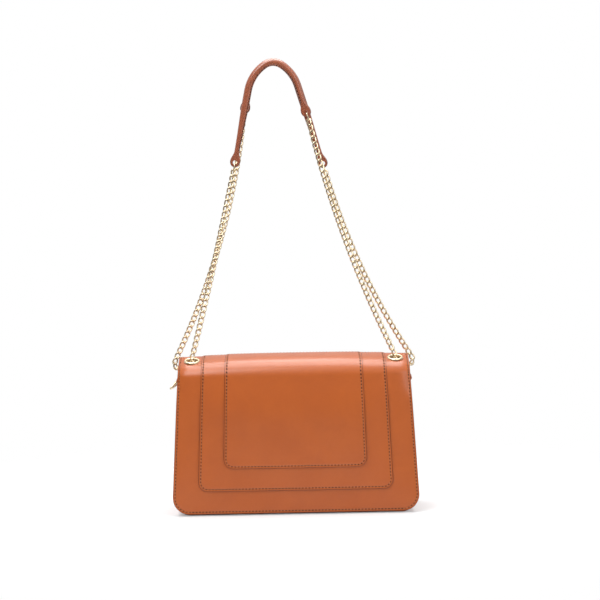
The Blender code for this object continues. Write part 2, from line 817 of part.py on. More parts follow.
def leg(low, high, turn, points):
    """A section part of the way along one side of a link: a ridge outside and a flat inside."""
    along = (high[0] - low[0]).normalized()
    flat = low[2] + high[2]
    flat = (flat - flat.dot(along) * along).normalized()
    radial = turned_side((None, along, flat), LINK_TWIST * math.cos(turn))
    half_length = (high[0] - low[0]).length / 2
    half_width = LINK_WIDTH / 2 - LINK_RIDGE
    centre = (low[0] + high[0]) / 2 + half_length * math.cos(turn) * along
    centre = centre + half_width * math.sin(turn) * radial
    travel = half_width * math.cos(turn) * radial - half_length * math.sin(turn) * along
    out = math.cos(turn) * along + math.sin(turn) * radial
    travel.normalize()
    out = (out - out.dot(travel) * travel).normalized()
    across = travel.cross(out)
    first = len(points)
    points += [centre + LINK_RIDGE * out]
    points += [centre - LINK_BASE / 2 * across, centre + LINK_BASE / 2 * across]
    return [first, first + 1, first + 2]


def chain(name, route, start_roll, middle_roll, end_roll):
    """A run of curb links: each is twisted, and seats face to face in the one before it."""
    count = round(route.length / LINK_PITCH)
    frames = []
    for k in range(count + 1):
        start_share = max(0.0, 1 - k / ROLL_LINKS)
        end_share = max(0.0, 1 - (count - k) / ROLL_LINKS)
        roll = middle_roll + start_share * (start_roll - middle_roll)
        roll += end_share * (end_roll - middle_roll)
        frames.append(link_frame(route, route.length * k / count, roll))
    points = []
    seats = []
    for frame in frames:
        seats.append({})
        for a in (-1, 1):
            for b in (-1, 1):
                seats[-1][a, b] = len(points)
                offset = a * turned_side(frame, LINK_TWIST) + b * turned_side(frame, -LINK_TWIST)
                points.append(frame[0] + LINK_BASE / 2 * offset)
    faces = []
    for k in range(count):
        low = frames[k]
        high = frames[k + 1]
        rings = bight(high, True, seats[k + 1], points)
        rings += [leg(low, high, turn, points) for turn in LEG_TURNS]
        rings += bight(low, False, seats[k], points)
        rings += [leg(low, high, math.pi + turn, points) for turn in LEG_TURNS]
        for row, ring in enumerate(rings):
            after = rings[(row + 1) % len(rings)]
            seated = (row == 0 and k < count - 1) or (row == 2 + len(LEG_TURNS) and k > 0)
            for j in range(3):
                if seated and j == 1:
                    continue
                faces.append((ring[j], ring[(j + 1) % 3], after[(j + 1) % 3], after[j]))
    return make(name, points, faces, PALE_GOLD, math.radians(60))


# Arch: the line that both shoulder pads follow, from its left leg to its right one

ARCH_TURNS = (
    ARCH_LEFT_ANGLE - ARCH_TOP_ANGLE,
    2 * ARCH_TOP_ANGLE,
    ARCH_RIGHT_ANGLE - ARCH_TOP_ANGLE,
)
ARCH_RUNS = [
    (ARCH_LEG, 0),
    (ARCH_SIDE_R * ARCH_TURNS[0], ARCH_TURNS[0]),
    (ARCH_TOP_R * ARCH_TURNS[1], ARCH_TURNS[1]),
    (ARCH_SIDE_R * ARCH_TURNS[2], ARCH_TURNS[2]),
    (ARCH_LEG, 0),
]
ARCH_MIDDLE = ARCH_RUNS[0][0] + ARCH_RUNS[1][0] + ARCH_RUNS[2][0] / 2
PAD_Y = (PAD_THICKNESS + PAD_SIDE_GAP) / 2


def arch(from_top):
    """Point (x, z) and heading at a distance from the arch's top, rightwards."""
    top = walk((0, 0), ARCH_LEFT_ANGLE, ARCH_RUNS, ARCH_MIDDLE)[0]
    start = Vector((-ARCH_TOP_X, ARCH_TOP_Z)) - top
    (minus_x, z), heading = walk(start, ARCH_LEFT_ANGLE, ARCH_RUNS, ARCH_MIDDLE + from_top)
    return -minus_x, z, heading


def front_pivot():
    """Point (0, y, z) on the line that the front half of the strap swings about."""
    centre, out = seat()
    return centre + PIVOT_RISE * out


def strap_y(z, is_front):
    """The two halves of the strap lean together towards the top."""
    if is_front:
        foot_y = front_pivot().y
        foot_z = front_pivot().z
        top_y = -PAD_Y
    else:
        foot_y = HINGE_Y
        foot_z = HINGE_Z + CHAIN_EASE
        top_y = PAD_Y
    share = max(0.0, (z - foot_z) / (ARCH_TOP_Z - foot_z))
    return foot_y + share * (top_y - foot_y)


def on_arch(from_top, is_front):
    """Point, direction and outward normal of a pad at a distance along the arch."""
    x, z, heading = arch(from_top)
    along = Vector((math.cos(heading), 0, math.sin(heading)))
    out = Vector((-math.sin(heading), 0, math.cos(heading)))
    return Vector((x, strap_y(z, is_front), z)), along, out


def blend(table, share):
    """Straight reading between the rows of a table of shares."""
    for (low, a), (high, b) in zip(table, table[1:]):
        if share <= high:
            return a + (b - a) * max(0.0, share - low) / (high - low)
    return table[-1][1]


def pad(name, slide, is_front):
    """A rolled leather shoulder pad with a flat holed tab at each end."""
    half = PAD_SPACING / 2 + TAB_HOLE_IN
    table = [(TAB_LENGTH / half, TAB_SHARES[-1][1] * TAB_WIDTH / PAD_THICKNESS), *PAD_BODY_SHARES]
    sections = []
    for share, width, thick, swell in TAB_SHARES:
        half_thick = TAB_T / 2 * thick * (1 - swell) + PAD_THICKNESS / 2 * swell
        sections.append((share * TAB_LENGTH, width * TAB_WIDTH / 2, half_thick))
    ends = [(-half + s, w, t) for s, w, t in sections]
    body = []
    reach = half - TAB_LENGTH
    for k in range(1, PAD_STATIONS):
        place = -reach + 2 * reach * k / PAD_STATIONS
        size = PAD_THICKNESS / 2 * blend(table, (half - abs(place)) / half)
        body.append((place, size, size))
    rows = ends + body + [(-s, w, t) for s, w, t in reversed(ends)]
    points = []
    for place, half_wide, half_thick in rows:
        centre, along, out = on_arch(slide + place, is_front)
        for k in range(PAD_FACETS):
            turn = math.tau * (k + 0.5) / PAD_FACETS
            offset = half_wide * math.cos(turn) * out + half_thick * math.sin(turn) * Vector((0, 1, 0))
            points.append(centre + offset)
    faces = [tuple(range(PAD_FACETS)), tuple(range(len(points) - PAD_FACETS, len(points)))]
    for row in range(len(rows) - 1):
        for k in range(PAD_FACETS):
            a = PAD_FACETS * row + k
            b = PAD_FACETS * row + (k + 1) % PAD_FACETS
            faces.append((a, b, b + PAD_FACETS, a + PAD_FACETS))
    piece = make(name, points, faces, PAD_BROWN, math.radians(40))
    for end in (-1, 1):
        hole = on_arch(slide + end * PAD_SPACING / 2, is_front)[0]
        drill(piece, hole, Vector((0, 1, 0)), TAB_HOLE_R, PAD_THICKNESS)
    return piece


PAD_LINK_SEAT = TAB_HOLE_R - PAD_LINK_WIRE_D / 2 - 2 * GAP
PAD_HOOK = PAD_LINK_WIRE_D / 2 + GAP


def pad_end(slide, end, is_front):
    """Hole centre of a pad's tab, and the direction from it towards the chain."""
    hole, along, out = on_arch(slide + end * PAD_SPACING / 2, is_front)
    return hole, end * along


def pad_link(name, slide, end, is_front):
    """The oval link that joins a pad's tab to the last link of a chain run."""
    hole, away = pad_end(slide, end, is_front)
    half_length = (PAD_LINK_LENGTH - PAD_LINK_WIRE_D) / 2
    half_width = (PAD_LINK_WIDTH - PAD_LINK_WIRE_D) / 2
    centre = hole + (PAD_LINK_SEAT + half_length) * away
    outline = []
    for tip in (1, -1):
        for k in range(5):
            turn = tip * math.pi / 2 - math.pi / 2 + math.pi * k / 4
            straight = tip * (half_length - half_width)
            outline.append((half_width * math.cos(turn), straight + half_width * math.sin(turn)))
    return flat_ring(name, outline, centre, Vector((0, 1, 0)), away, PAD_LINK_WIRE_D / 2, 5, PALE_GOLD)


def run_top(slide, end, is_front):
    """Where the last link of a chain run is hooked in its pad link."""
    hole, away = pad_end(slide, end, is_front)
    return hole + (PAD_LINK_SEAT + PAD_LINK_LENGTH - PAD_LINK_WIRE_D - PAD_HOOK) * away


def hanging(low, high, sag_share, is_front):
    """Points of a chain run that sags a little towards the middle of the bag."""
    chord = high - low
    inward = Vector((math.copysign(chord.z, chord.x), 0, -abs(chord.x)))
    points = []
    for k in range(RUN_POINTS + 1):
        share = k / RUN_POINTS
        point = low.lerp(high, share) + 4 * share * (1 - share) * sag_share * inward
        lean = strap_y(point.z, is_front) - strap_y(low.z, is_front)
        end_lean = high.y - strap_y(high.z, is_front)
        point.y = low.y + lean + share * end_lean
        points.append(point)
    return points


def smooth(points, pieces):
    """A rounded line through a few points."""
    padded = [2 * points[0] - points[1], *points, 2 * points[-1] - points[-2]]
    line = [points[0]]
    for a, b, c, d in zip(padded, padded[1:], padded[2:], padded[3:]):
        for k in range(1, pieces + 1):
            t = k / pieces
            bend = (2 * a - 5 * b + 4 * c - d) * t**2 + (3 * b - a - 3 * c + d) * t**3
            line.append(b + (c - a) * t / 2 + bend / 2)
    return line


def front_chain(side, sag_share):
    name = side_name(side)
    pivot = front_pivot() + Vector((side * FLAP_EYELET_X, 0, 0))
    high = run_top(FRONT_PAD_SLIDE, side, True)
    low = pivot - HOOK * (high - pivot).normalized()
    route = Route(hanging(low, high, sag_share, True))
    return chain(f"chain_front_{name}", route, LINK_TWIST, 0, -LINK_TWIST)


def rear_chain(side, sag_share):
    """The rear run: through the gusset eyelet along the hinge line, then up."""
    name = side_name(side)
    inner = Vector((side * (POUCH_HALF_TOP - REAR_CHAIN_START_IN), HINGE_Y, HINGE_Z))
    corner = Vector((side * (POUCH_HALF_TOP + REAR_CHAIN_OUT), HINGE_Y, HINGE_Z))
    low = corner + Vector((0, 0, CHAIN_EASE))
    before = corner - Vector((side * CHAIN_EASE, 0, 0))
    bend = [inner]
    for k in range(ARC_FACETS + 1):
        t = k / ARC_FACETS
        bend.append((1 - t) ** 2 * before + 2 * t * (1 - t) * corner + t**2 * low)
    high = run_top(REAR_PAD_SLIDE, side, False)
    route = Route(bend + hanging(low, high, sag_share, False)[1:])
    return chain(f"chain_rear_{name}", route, math.pi / 2, 0, -LINK_TWIST)


def inner_chain(side):
    """The links between the flap eyelet and the gusset eyelet, under the flap."""
    name = side_name(side)
    centre, out = seat()
    across = Vector((side * FLAP_EYELET_X, 0, 0))
    end = Vector((side * (POUCH_HALF_TOP - INNER_CHAIN_END_IN), HINGE_Y, HINGE_Z))
    start = centre + across + INNER_CHAIN_RISE * out
    below = centre + across - INNER_CHAIN_DROP * out
    middle = below.lerp(end, 0.5) - Vector((0, 0, INNER_CHAIN_DROP / 3))
    before = end - Vector((side * INNER_CHAIN_DROP / 2, 0, 0))
    route = Route(smooth([start, below, middle, before, end], ARC_FACETS))
    return chain(f"chain_inner_{name}", route, LINK_TWIST, LINK_TWIST, LINK_TWIST)


# D-rings, their leather tabs and rivets

LOOP_R = RING_WIRE_D / 2 + GAP + RING_TAB_LEATHER
RING_Z = HINGE_Z - RING_BELOW_HINGE


def ring_frame(side):
    """Outward, bar and upward directions at a D-ring's tab, and the middle of its bar."""
    normal = web_normal(side)
    bar = Vector((0, math.cos(RING_TILT), math.sin(RING_TILT)))
    up = side * normal.cross(bar)
    centre = Vector((side * side_x(RING_Z), 0, RING_Z)) + (GAP + LOOP_R) * normal
    return normal, bar, up, centre


def d_ring(side, angle):
    normal, bar, up, centre = ring_frame(side)
    away = math.cos(angle) * normal + math.sin(angle) * up
    half = (RING_WIDTH + RING_WIRE_D) / 2
    r = RING_CORNER_R
    outline = []
    for k in range(4):
        turn = -math.pi / 2 + math.pi / 2 * k / 3
        outline.append((half - r + r * math.cos(turn), r + r * math.sin(turn)))
    for k in range(1, 2 * ARC_FACETS - 3):
        turn = math.pi * k / (2 * ARC_FACETS - 3)
        outline.append((half * math.cos(turn), r + (RING_DROP - r) * math.sin(turn)))
    outline += [(-a, b) for a, b in reversed(outline[:4])]
    name = f"d_ring_{side_name(side)}"
    return flat_ring(name, outline, centre, bar, away, RING_WIRE_D / 2, 6, PALE_GOLD)


def ring_tab(side):
    """A folded leather tab whose loop holds the D-ring's bar."""
    normal, bar, up, centre = ring_frame(side)
    face = 2 * RING_TAB_LEATHER - LOOP_R
    outline = [(-LOOP_R, -RING_TAB_LENGTH), (face, -RING_TAB_LENGTH)]
    low = -math.pi / 2 + math.asin(face / LOOP_R)
    for k in range(9):
        turn = low + (math.pi - low) * k / 8
        outline.append((LOOP_R * math.cos(turn), LOOP_R * math.sin(turn)))
    points = []
    for half in (-RING_TAB_WIDTH / 2, RING_TAB_WIDTH / 2):
        points += [centre + a * normal + b * up + half * bar for a, b in outline]
    name = f"ring_tab_{side_name(side)}"
    tab = make(name, points, prism_faces(len(outline)), TAN, math.radians(40))
    drill(tab, centre, bar, LOOP_R - RING_TAB_LEATHER, RING_TAB_WIDTH)
    return drill(tab, rivet_centre(side), normal, RIVET_SHANK_R + GAP, OVERRUN)


def rivet_centre(side):
    """Point on the gusset's outer face under a tab's rivet."""
    normal, bar, up, centre = ring_frame(side)
    return centre - (LOOP_R + GAP) * normal - (RING_TAB_LENGTH - RIVET_FROM_END) * up


def ring_rivet(side):
    """A capped rivet through the tab and the gusset."""
    normal, bar, up, centre = ring_frame(side)
    place = frame_about(rivet_centre(side), normal)
    head = 2 * GAP + 2 * RING_TAB_LEATHER
    tail = -(GUSSET_T + GAP)
    crown = (RIVET_R * RIVET_CROWN_SHARES[0], head + RIVET_DOME * RIVET_CROWN_SHARES[1])
    outline = [(0, head + RIVET_DOME), crown, (RIVET_R, head)]
    outline += [(RIVET_SHANK_R, head), (RIVET_SHANK_R, tail), (RIVET_R, tail)]
    outline += [(RIVET_R, tail - RIVET_TAIL_T), (0, tail - RIVET_TAIL_T)]
    return turned(f"ring_rivet_{side_name(side)}", outline, place, 10, PALE_GOLD)


# Assembly


def hang(name, pivot, pieces, carrier=None):
    """Hang pieces on an empty that stands on their joint's axis."""
    joint = bpy.data.objects.new(name, None)
    bpy.context.collection.objects.link(joint)
    joint.empty_display_size = BOSS_R
    joint.location = Vector(pivot) - (carrier[1] if carrier else Vector())
    joint.parent = carrier[0] if carrier else None
    for piece in pieces:
        piece.data.transform(Matrix.Translation(-Vector(pivot)))
        piece.parent = joint
    return joint, Vector(pivot)


def build():
    clear_scene()
    front_panel()
    back_panel()
    gusset()
    base_stiffener()
    lining()
    slip_pocket()
    flap_tail()
    gusset_eyelets()
    fixed_snap, stud = snap()
    for side in (-1, 1):
        ring_tab(side)
        ring_rivet(side)

    moving = [
        flap_layer("flap_base", 0, FLAP_T, 0, TAN),
        flap_layer("flap_lining", FLAP_T + GAP, FLAP_LINING_T, FLAP_LINING_INSET, LINING_BROWN),
        overlay("flap_overlay_mid", 1, TAN),
        overlay("flap_overlay_inner", 2, TAN),
        flap_fold(),
        *flap_eyelets(),
        stud,
        inner_chain(-1),
        inner_chain(1),
    ]
    flap_hinge = hang("flap_hinge", (0, HINGE_Y, HINGE_Z), moving)

    front = [
        front_chain(-1, FRONT_LEFT_SAG_SHARE),
        front_chain(1, FRONT_RIGHT_SAG_SHARE),
        pad("pad_front", FRONT_PAD_SLIDE, True),
        pad_link("pad_link_front_left", FRONT_PAD_SLIDE, -1, True),
        pad_link("pad_link_front_right", FRONT_PAD_SLIDE, 1, True),
    ]
    hang("strap_front_pivot", front_pivot(), front, flap_hinge)
    rear = [
        rear_chain(-1, REAR_LEFT_SAG_SHARE),
        rear_chain(1, REAR_RIGHT_SAG_SHARE),
        pad("pad_rear", REAR_PAD_SLIDE, False),
        pad_link("pad_link_rear_left", REAR_PAD_SLIDE, -1, False),
        pad_link("pad_link_rear_right", REAR_PAD_SLIDE, 1, False),
    ]
    hang("strap_rear_pivot", (0, HINGE_Y, HINGE_Z), rear, flap_hinge)
    for side, angle in ((-1, RING_LEFT_ANGLE), (1, RING_RIGHT_ANGLE)):
        hang(f"ring_pivot_{side_name(side)}", ring_frame(side)[3], [d_ring(side, angle)])


build()
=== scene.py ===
"""Looks of the leather flap handbag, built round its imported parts."""
import math

import bmesh
import bpy
from mathutils import Matrix, Quaternion, Vector, noise


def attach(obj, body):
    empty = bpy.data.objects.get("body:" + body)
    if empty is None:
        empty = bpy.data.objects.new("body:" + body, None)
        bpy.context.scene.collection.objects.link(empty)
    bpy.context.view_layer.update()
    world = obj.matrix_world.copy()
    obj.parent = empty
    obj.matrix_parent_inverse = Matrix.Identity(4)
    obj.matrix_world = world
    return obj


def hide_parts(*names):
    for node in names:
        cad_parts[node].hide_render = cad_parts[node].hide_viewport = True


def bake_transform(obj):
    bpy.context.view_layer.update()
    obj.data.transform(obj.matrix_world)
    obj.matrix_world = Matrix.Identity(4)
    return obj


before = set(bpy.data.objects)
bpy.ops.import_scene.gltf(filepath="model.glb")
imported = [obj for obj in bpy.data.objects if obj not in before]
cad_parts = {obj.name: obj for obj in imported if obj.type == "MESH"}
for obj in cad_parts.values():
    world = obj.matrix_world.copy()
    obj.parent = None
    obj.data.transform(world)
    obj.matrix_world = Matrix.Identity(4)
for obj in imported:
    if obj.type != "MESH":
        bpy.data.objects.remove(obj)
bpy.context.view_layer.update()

# The stand for the picture: a plain pale floor that reaches far behind the bag, three large
# soft lamps and a long lens a little above the bag's middle. None of it belongs to the bag.
PALE = (0.93, 0.93, 0.935)
WHITE = (1, 1, 1)
AIR_TINT = (0.95, 0.97, 1.0)
AIR_LEVEL = 0.36
FLOOR_HALF = 6.0
FLOOR_FADE = (0.12, 0.50)
FLOOR_FADE_START = 0.3
CAMERA_AWAY = 2.5
CAMERA_REACH = 50
CAMERA_LENS = 149.3
CAMERA_RISE = math.radians(5.0)
CAMERA_ROLL = math.radians(1.1)
LOOK_AT = Vector((0.0076, 0.0, 0.2107))
WELD = 1e-6


def link(thing):
    """Put a new object in the scene."""
    bpy.context.scene.collection.objects.link(thing)
    return thing


def mesh_object(name, points, faces, insets=None):
    """A new piece with smooth faces that point outwards; insets say how far in each point is."""
    mesh = bpy.data.meshes.new(name)
    mesh.from_pydata([tuple(point) for point in points], [], faces)
    if insets:
        mesh.attributes.new("inset", "FLOAT", "POINT").data.foreach_set("value", insets)
    shape = bmesh.new()
    shape.from_mesh(mesh)
    bmesh.ops.remove_doubles(shape, verts=shape.verts, dist=WELD)
    bmesh.ops.recalc_face_normals(shape, faces=shape.faces)
    shape.to_mesh(mesh)
    shape.free()
    mesh.shade_smooth()
    return link(bpy.data.objects.new(name, mesh))


def nodes_of(name):
    """A new material with its node tree and its shader."""
    material = bpy.data.materials.new(name)
    material.use_nodes = True
    return material, material.node_tree, material.node_tree.nodes["Principled BSDF"]


def feed(tree, node, inputs):
    """Set a node's inputs, each to a value, a socket or the first output of another node."""
    for key, value in inputs.items():
        if isinstance(value, bpy.types.Node):
            value = next(output for output in value.outputs if output.enabled)
        if isinstance(value, bpy.types.NodeSocket):
            tree.links.new(value, node.inputs[key])
        elif node.inputs[key].type == "RGBA":
            node.inputs[key].default_value = (*value, 1)
        else:
            node.inputs[key].default_value = value
    return node


def add(tree, kind, inputs=None, **settings):
    """A new node with its settings and inputs."""
    node = tree.nodes.new(kind)
    for key, value in settings.items():
        setattr(node, key, value)
    return feed(tree, node, inputs or {})


def maths(tree, operation, *values):
    """A sum on two or three values."""
    return add(tree, "ShaderNodeMath", dict(enumerate(values)), operation=operation)


def spread(tree, value, low, high, to_low=0.0, to_high=1.0, smooth=True):
    """A value carried over from one range to another."""
    ends = {"From Min": low, "From Max": high, "To Min": to_low, "To Max": to_high}
    curve = "SMOOTHSTEP" if smooth else "LINEAR"
    return add(tree, "ShaderNodeMapRange", {"Value": value, **ends}, interpolation_type=curve)


def coordinates(tree, kind):
    """The place of a spot, in the object's own coordinates or another kind."""
    return add(tree, "ShaderNodeTexCoord").outputs[kind]


def layered(tree, share, first, second):
    """Two shaders mixed by a share."""
    return add(tree, "ShaderNodeMixShader", {0: share, 1: first, 2: second})


def lamp(name, place, aim, size, power):
    """A square soft lamp."""
    light = bpy.data.lights.new(name, "AREA")
    light.size = size
    light.energy = power
    thing = link(bpy.data.objects.new(name, light))
    thing.location = place
    thing.rotation_euler = (Vector(aim) - Vector(place)).to_track_quat("-Z", "Y").to_euler()


corners = [(x * FLOOR_HALF, y * FLOOR_HALF, 0) for x, y in ((-1, -1), (1, -1), (1, 1), (-1, 1))]
floor = mesh_object("floor", corners, [(0, 1, 2, 3)])
floor_paint, tree, shader = nodes_of("floor_paint")
feed(tree, shader, {"Base Color": PALE, "Roughness": 0.8, "Specular IOR Level": 0.0})
away = add(tree, "ShaderNodeVectorMath", {0: coordinates(tree, "Object")}, operation="LENGTH")
far = spread(tree, away.outputs["Value"], *FLOOR_FADE, FLOOR_FADE_START)
seen = add(tree, "ShaderNodeLightPath").outputs
straight = maths(tree, "MAXIMUM", seen["Is Camera Ray"], seen["Is Glossy Ray"])
open_air = maths(tree, "MULTIPLY", straight, far)
faded = layered(tree, open_air, shader, add(tree, "ShaderNodeBsdfTransparent"))
feed(tree, tree.nodes["Material Output"], {"Surface": faded})
floor.data.materials.append(floor_paint)
world = bpy.data.worlds.new("studio_air")
world.use_nodes = True
bpy.context.scene.world = world
tree = world.node_tree
air = feed(tree, tree.nodes["Background"], {"Color": AIR_TINT, "Strength": AIR_LEVEL})
backdrop = add(tree, "ShaderNodeBackground", {"Color": WHITE, "Strength": 1.0})
towards = add(tree, "ShaderNodeSeparateXYZ", {0: coordinates(tree, "Generated")}).outputs
behind = spread(tree, towards["Y"], -0.35, 0.35, 0.05, 0.6)
lit = maths(tree, "MAXIMUM", behind, spread(tree, towards["Z"], 0.25, 0.85))
studio = add(tree, "ShaderNodeBackground", {"Color": WHITE, "Strength": lit})
seen = add(tree, "ShaderNodeLightPath").outputs
through = maths(tree, "MAXIMUM", seen["Is Camera Ray"], seen["Is Transmission Ray"])
mirrored = layered(tree, seen["Is Glossy Ray"], air, studio)
whole_view = layered(tree, through, mirrored, backdrop)
feed(tree, tree.nodes["World Output"], {"Surface": whole_view})
lamp("key_lamp", (-0.6, -0.95, 1.55), (0, 0, 0.16), 0.9, 13.3)
lamp("fill_lamp", (1.4, -1.5, 0.9), (0, 0, 0.2), 1.2, 10)
lamp("top_lamp", (0.0, 0.18, 1.36), (0, 0, 0.15), 1.05, 20)
camera = link(bpy.data.objects.new("camera", bpy.data.cameras.new("camera")))
camera.data.lens = CAMERA_LENS
camera.data.clip_end = CAMERA_REACH
away = Vector((0, -math.cos(CAMERA_RISE), math.sin(CAMERA_RISE)))
camera.location = LOOK_AT + CAMERA_AWAY * away
turn = away.to_track_quat("Z", "Y") @ Quaternion((0, 0, 1), -CAMERA_ROLL)
camera.rotation_euler = turn.to_euler()
bpy.context.scene.camera = camera
bpy.context.scene.view_settings.view_transform = "Standard"

# Gusset: a long strip of firm polished cow leather, folded into a U-shaped channel that forms both
# sides and the base. Its flanges are sewn inside the panels, each side wall has a chain eyelet at
# its top, and its front follows the flap's side profile, which runs from the tail to the hem.
HINGE_Y = 0.020
HINGE_Z = 0.1391304
FOLD_R = 0.014
CREST_R = 0.035
RIDGE_R = 0.013
SEAT_LENGTH = 0.017
TAIL_LENGTH = 0.032
HEM_Z = 0.002
RISE_ANGLE = math.radians(5)
SEAT_ANGLE = math.radians(14)
FRONT_ANGLE = math.radians(87)
FOLD_TURN = math.pi / 2 - RISE_ANGLE
RIDGE_TURN = FRONT_ANGLE - SEAT_ANGLE
TOP_LENGTH = (HINGE_Y + (FOLD_R - CREST_R) * math.sin(RISE_ANGLE)) / math.cos(RISE_ANGLE)
UPPER_RUNS = [
    (TAIL_LENGTH, 0),
    (FOLD_R * FOLD_TURN, FOLD_TURN),
    (TOP_LENGTH, 0),
    (CREST_R * (RISE_ANGLE + SEAT_ANGLE), RISE_ANGLE + SEAT_ANGLE),
    (SEAT_LENGTH, 0),
    (RIDGE_R * RIDGE_TURN, RIDGE_TURN),
]
PROFILE_START = (-(HINGE_Y + FOLD_R), HINGE_Z - TAIL_LENGTH, math.pi / 2)


def walk(runs, distance, x, z, heading):
    """Where a line of straight and turning runs is after a distance, and its heading there."""
    for length, turn in runs:
        step = min(distance, length)
        if turn:
            radius = length / turn
            after = heading - turn * step / length
            x += radius * (math.sin(heading) - math.sin(after))
            z += radius * (math.cos(after) - math.cos(heading))
            heading = after
        else:
            x += step * math.cos(heading)
            z += step * math.sin(heading)
        distance -= step
        if distance <= 0:
            break
    return x, z, heading


UPPER_LENGTH = sum(length for length, turn in UPPER_RUNS)
RIDGE_LENGTH = RIDGE_R * RIDGE_TURN
RIDGE_Z = walk(UPPER_RUNS, UPPER_LENGTH, *PROFILE_START)[1]
FRONT_LENGTH = (RIDGE_Z - HEM_Z) / math.sin(FRONT_ANGLE)
PROFILE = [*UPPER_RUNS, (FRONT_LENGTH, 0)]
PROFILE_LENGTH = UPPER_LENGTH + FRONT_LENGTH
HEM_Y = -walk(PROFILE, PROFILE_LENGTH, *PROFILE_START)[0]


def front_y(z, depth):
    """Y of the bag's sloping front, a depth inside the flap's outer face."""
    lean = math.pi / 2 - FRONT_ANGLE
    return HEM_Y + (z - HEM_Z) * math.tan(lean) + depth / math.cos(lean)


POUCH_HALF_BASE = 0.1195
POUCH_HALF_TOP = 0.1127
POUCH_CORNER_R = 0.014
FRONT_PANEL_TOP = 0.126
GAP = 0.0003
PANEL_T = 0.0020
GUSSET_T = 0.0016
FLAP_T = 0.0015
FLAP_LINING_T = 0.0010
HINGE_DROP = 0.0025
SNAP_STACK = 0.0041
FLAP_STACK = FLAP_T + GAP + FLAP_LINING_T
FRONT_DEPTH = FLAP_STACK + SNAP_STACK
BACK_OUTER_Y = HINGE_Y + FOLD_R - FLAP_T - GAP
BACK_INNER_Y = BACK_OUTER_Y - PANEL_T
BACK_TOP = HINGE_Z - HINGE_DROP
SIDE_LEAN = math.atan((POUCH_HALF_BASE - POUCH_HALF_TOP) / HINGE_Z)
FLANGE = 0.008
BOSS_R = 0.0104
GUSSET_BACK_Y = BACK_INNER_Y - GAP
GUSSET_BORE_R = 0.0042
BARREL_WALL = 0.0007
RIVET_SHANK_R = 0.0014
GUSSET_CUT_REACH = 0.02
BOSS_STEPS = 24
GUSSET_SOFTENING = 0.0004
PUNCH_REACH = 0.004
PUNCH_FACETS = 32
SHARP = math.radians(50)
SOFTENED = math.radians(35)
FAR_IN = 0.01


def side_x(z, inset=0.0):
    """Half width of the pouch at a height."""
    return POUCH_HALF_BASE - z * math.tan(SIDE_LEAN) - inset / math.cos(SIDE_LEAN)


def web_normal(side):
    """Outward direction of the gusset's side wall."""
    return Vector((side * math.cos(SIDE_LEAN), 0, math.sin(SIDE_LEAN)))


def pouch_outline(top, inset=0.0, turns=12, rises=14):
    """Front outline (x, z) of the pouch: down the left side, round the base and up again."""
    r = POUCH_CORNER_R
    centre_x = side_x(r) - r / math.cos(SIDE_LEAN)
    right = []
    for k in range(turns + 1):
        turn = -math.pi / 2 + (math.pi / 2 + SIDE_LEAN) * k / turns
        right.append((centre_x + (r - inset) * math.cos(turn), r + (r - inset) * math.sin(turn)))
    corner_top = right[-1][1]
    for k in range(1, rises + 1):
        z = corner_top + (top - corner_top) * k / rises
        right.append((side_x(z, inset), z))
    return [(-x, z) for x, z in reversed(right)] + right


def lofted(name, rings, closed=False, insets=None):
    """A skin over rings of points. Its ends are capped, or it closes on itself."""
    sides = len(rings[0])
    count = len(rings)
    last = (count - 1) * sides
    faces = [] if closed else [tuple(range(sides)), tuple(range(last, last + sides))]
    for row in range(count if closed else count - 1):
        a = row * sides
        b = (row + 1) % count * sides
        for k in range(sides):
            after = (k + 1) % sides
            faces.append((a + k, a + after, b + after, b + k))
    return mesh_object(name, [point for ring in rings for point in ring], faces, insets)


def keep_result(thing):
    """Turn a piece and its modifiers into a plain smooth mesh."""
    bpy.context.view_layer.update()
    graph = bpy.context.evaluated_depsgraph_get()
    made = bpy.data.meshes.new_from_object(thing.evaluated_get(graph))
    thing.modifiers.clear()
    thing.data = made
    made.shade_smooth()
    return thing


def modified(thing, kind, **settings):
    """Put a piece through one modifier and keep the result, with its sharp edges sharp."""
    change = thing.modifiers.new(kind, kind)
    for key, value in settings.items():
        setattr(change, key, value)
    keep_result(thing).data.set_sharp_from_angle(angle=SHARP)


def cut_with(thing, tool):
    """Take the tool's shape out of a piece, and remove the tool."""
    modified(thing, "BOOLEAN", operation="DIFFERENCE", solver="EXACT", object=tool)
    bpy.data.objects.remove(tool, do_unlink=True)


def soften(thing, width):
    """Round off the edges of a piece a little."""
    settings = {"limit_method": "ANGLE", "angle_limit": SOFTENED, "use_clamp_overlap": True}
    modified(thing, "BEVEL", width=width, segments=2, **settings)


def crossed(axis):
    """Two directions across an axis."""
    across = Vector((0, 1, 0)) if abs(axis.x) > 0.5 else Vector((1, 0, 0))
    u = (across - across.dot(axis) * axis).normalized()
    return u, axis.cross(u)


def circle(centre, u, v, count, phase=0.0):
    """Points round a centre, from the radii in two directions."""
    swings = [math.tau * (k + phase) / count for k in range(count)]
    return [centre + math.cos(swing) * u + math.sin(swing) * v for swing in swings]


def cut_hole(thing, centre, axis, radius, reach=PUNCH_REACH):
    """A round hole through a piece of leather."""
    u, v = crossed(axis)
    ends = (centre - reach * axis, centre + reach * axis)
    rims = [circle(end, radius * u, radius * v, PUNCH_FACETS) for end in ends]
    cut_with(thing, lofted("punch", rims))


def dress(piece, finish, body, *nodes, slot=None):
    """Give a finished piece its material and its body, or bake its place, and hide the parts that it
    stands for; the slot is not used.
    """
    piece.data.materials.clear()
    piece.data.materials.append(finish)
    slot or finish.name.split(".")[0]
    if nodes:
        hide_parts(*nodes)
    if isinstance(body, str):
        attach(piece, body)
    else:
        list(body)
        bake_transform(piece)


def full_inset(piece):
    """Mark a piece as plain leather all over, away from any painted edge."""
    inset = piece.data.attributes.new("inset", "FLOAT", "POINT")
    inset.data.foreach_set("value", [FAR_IN] * len(piece.data.vertices))


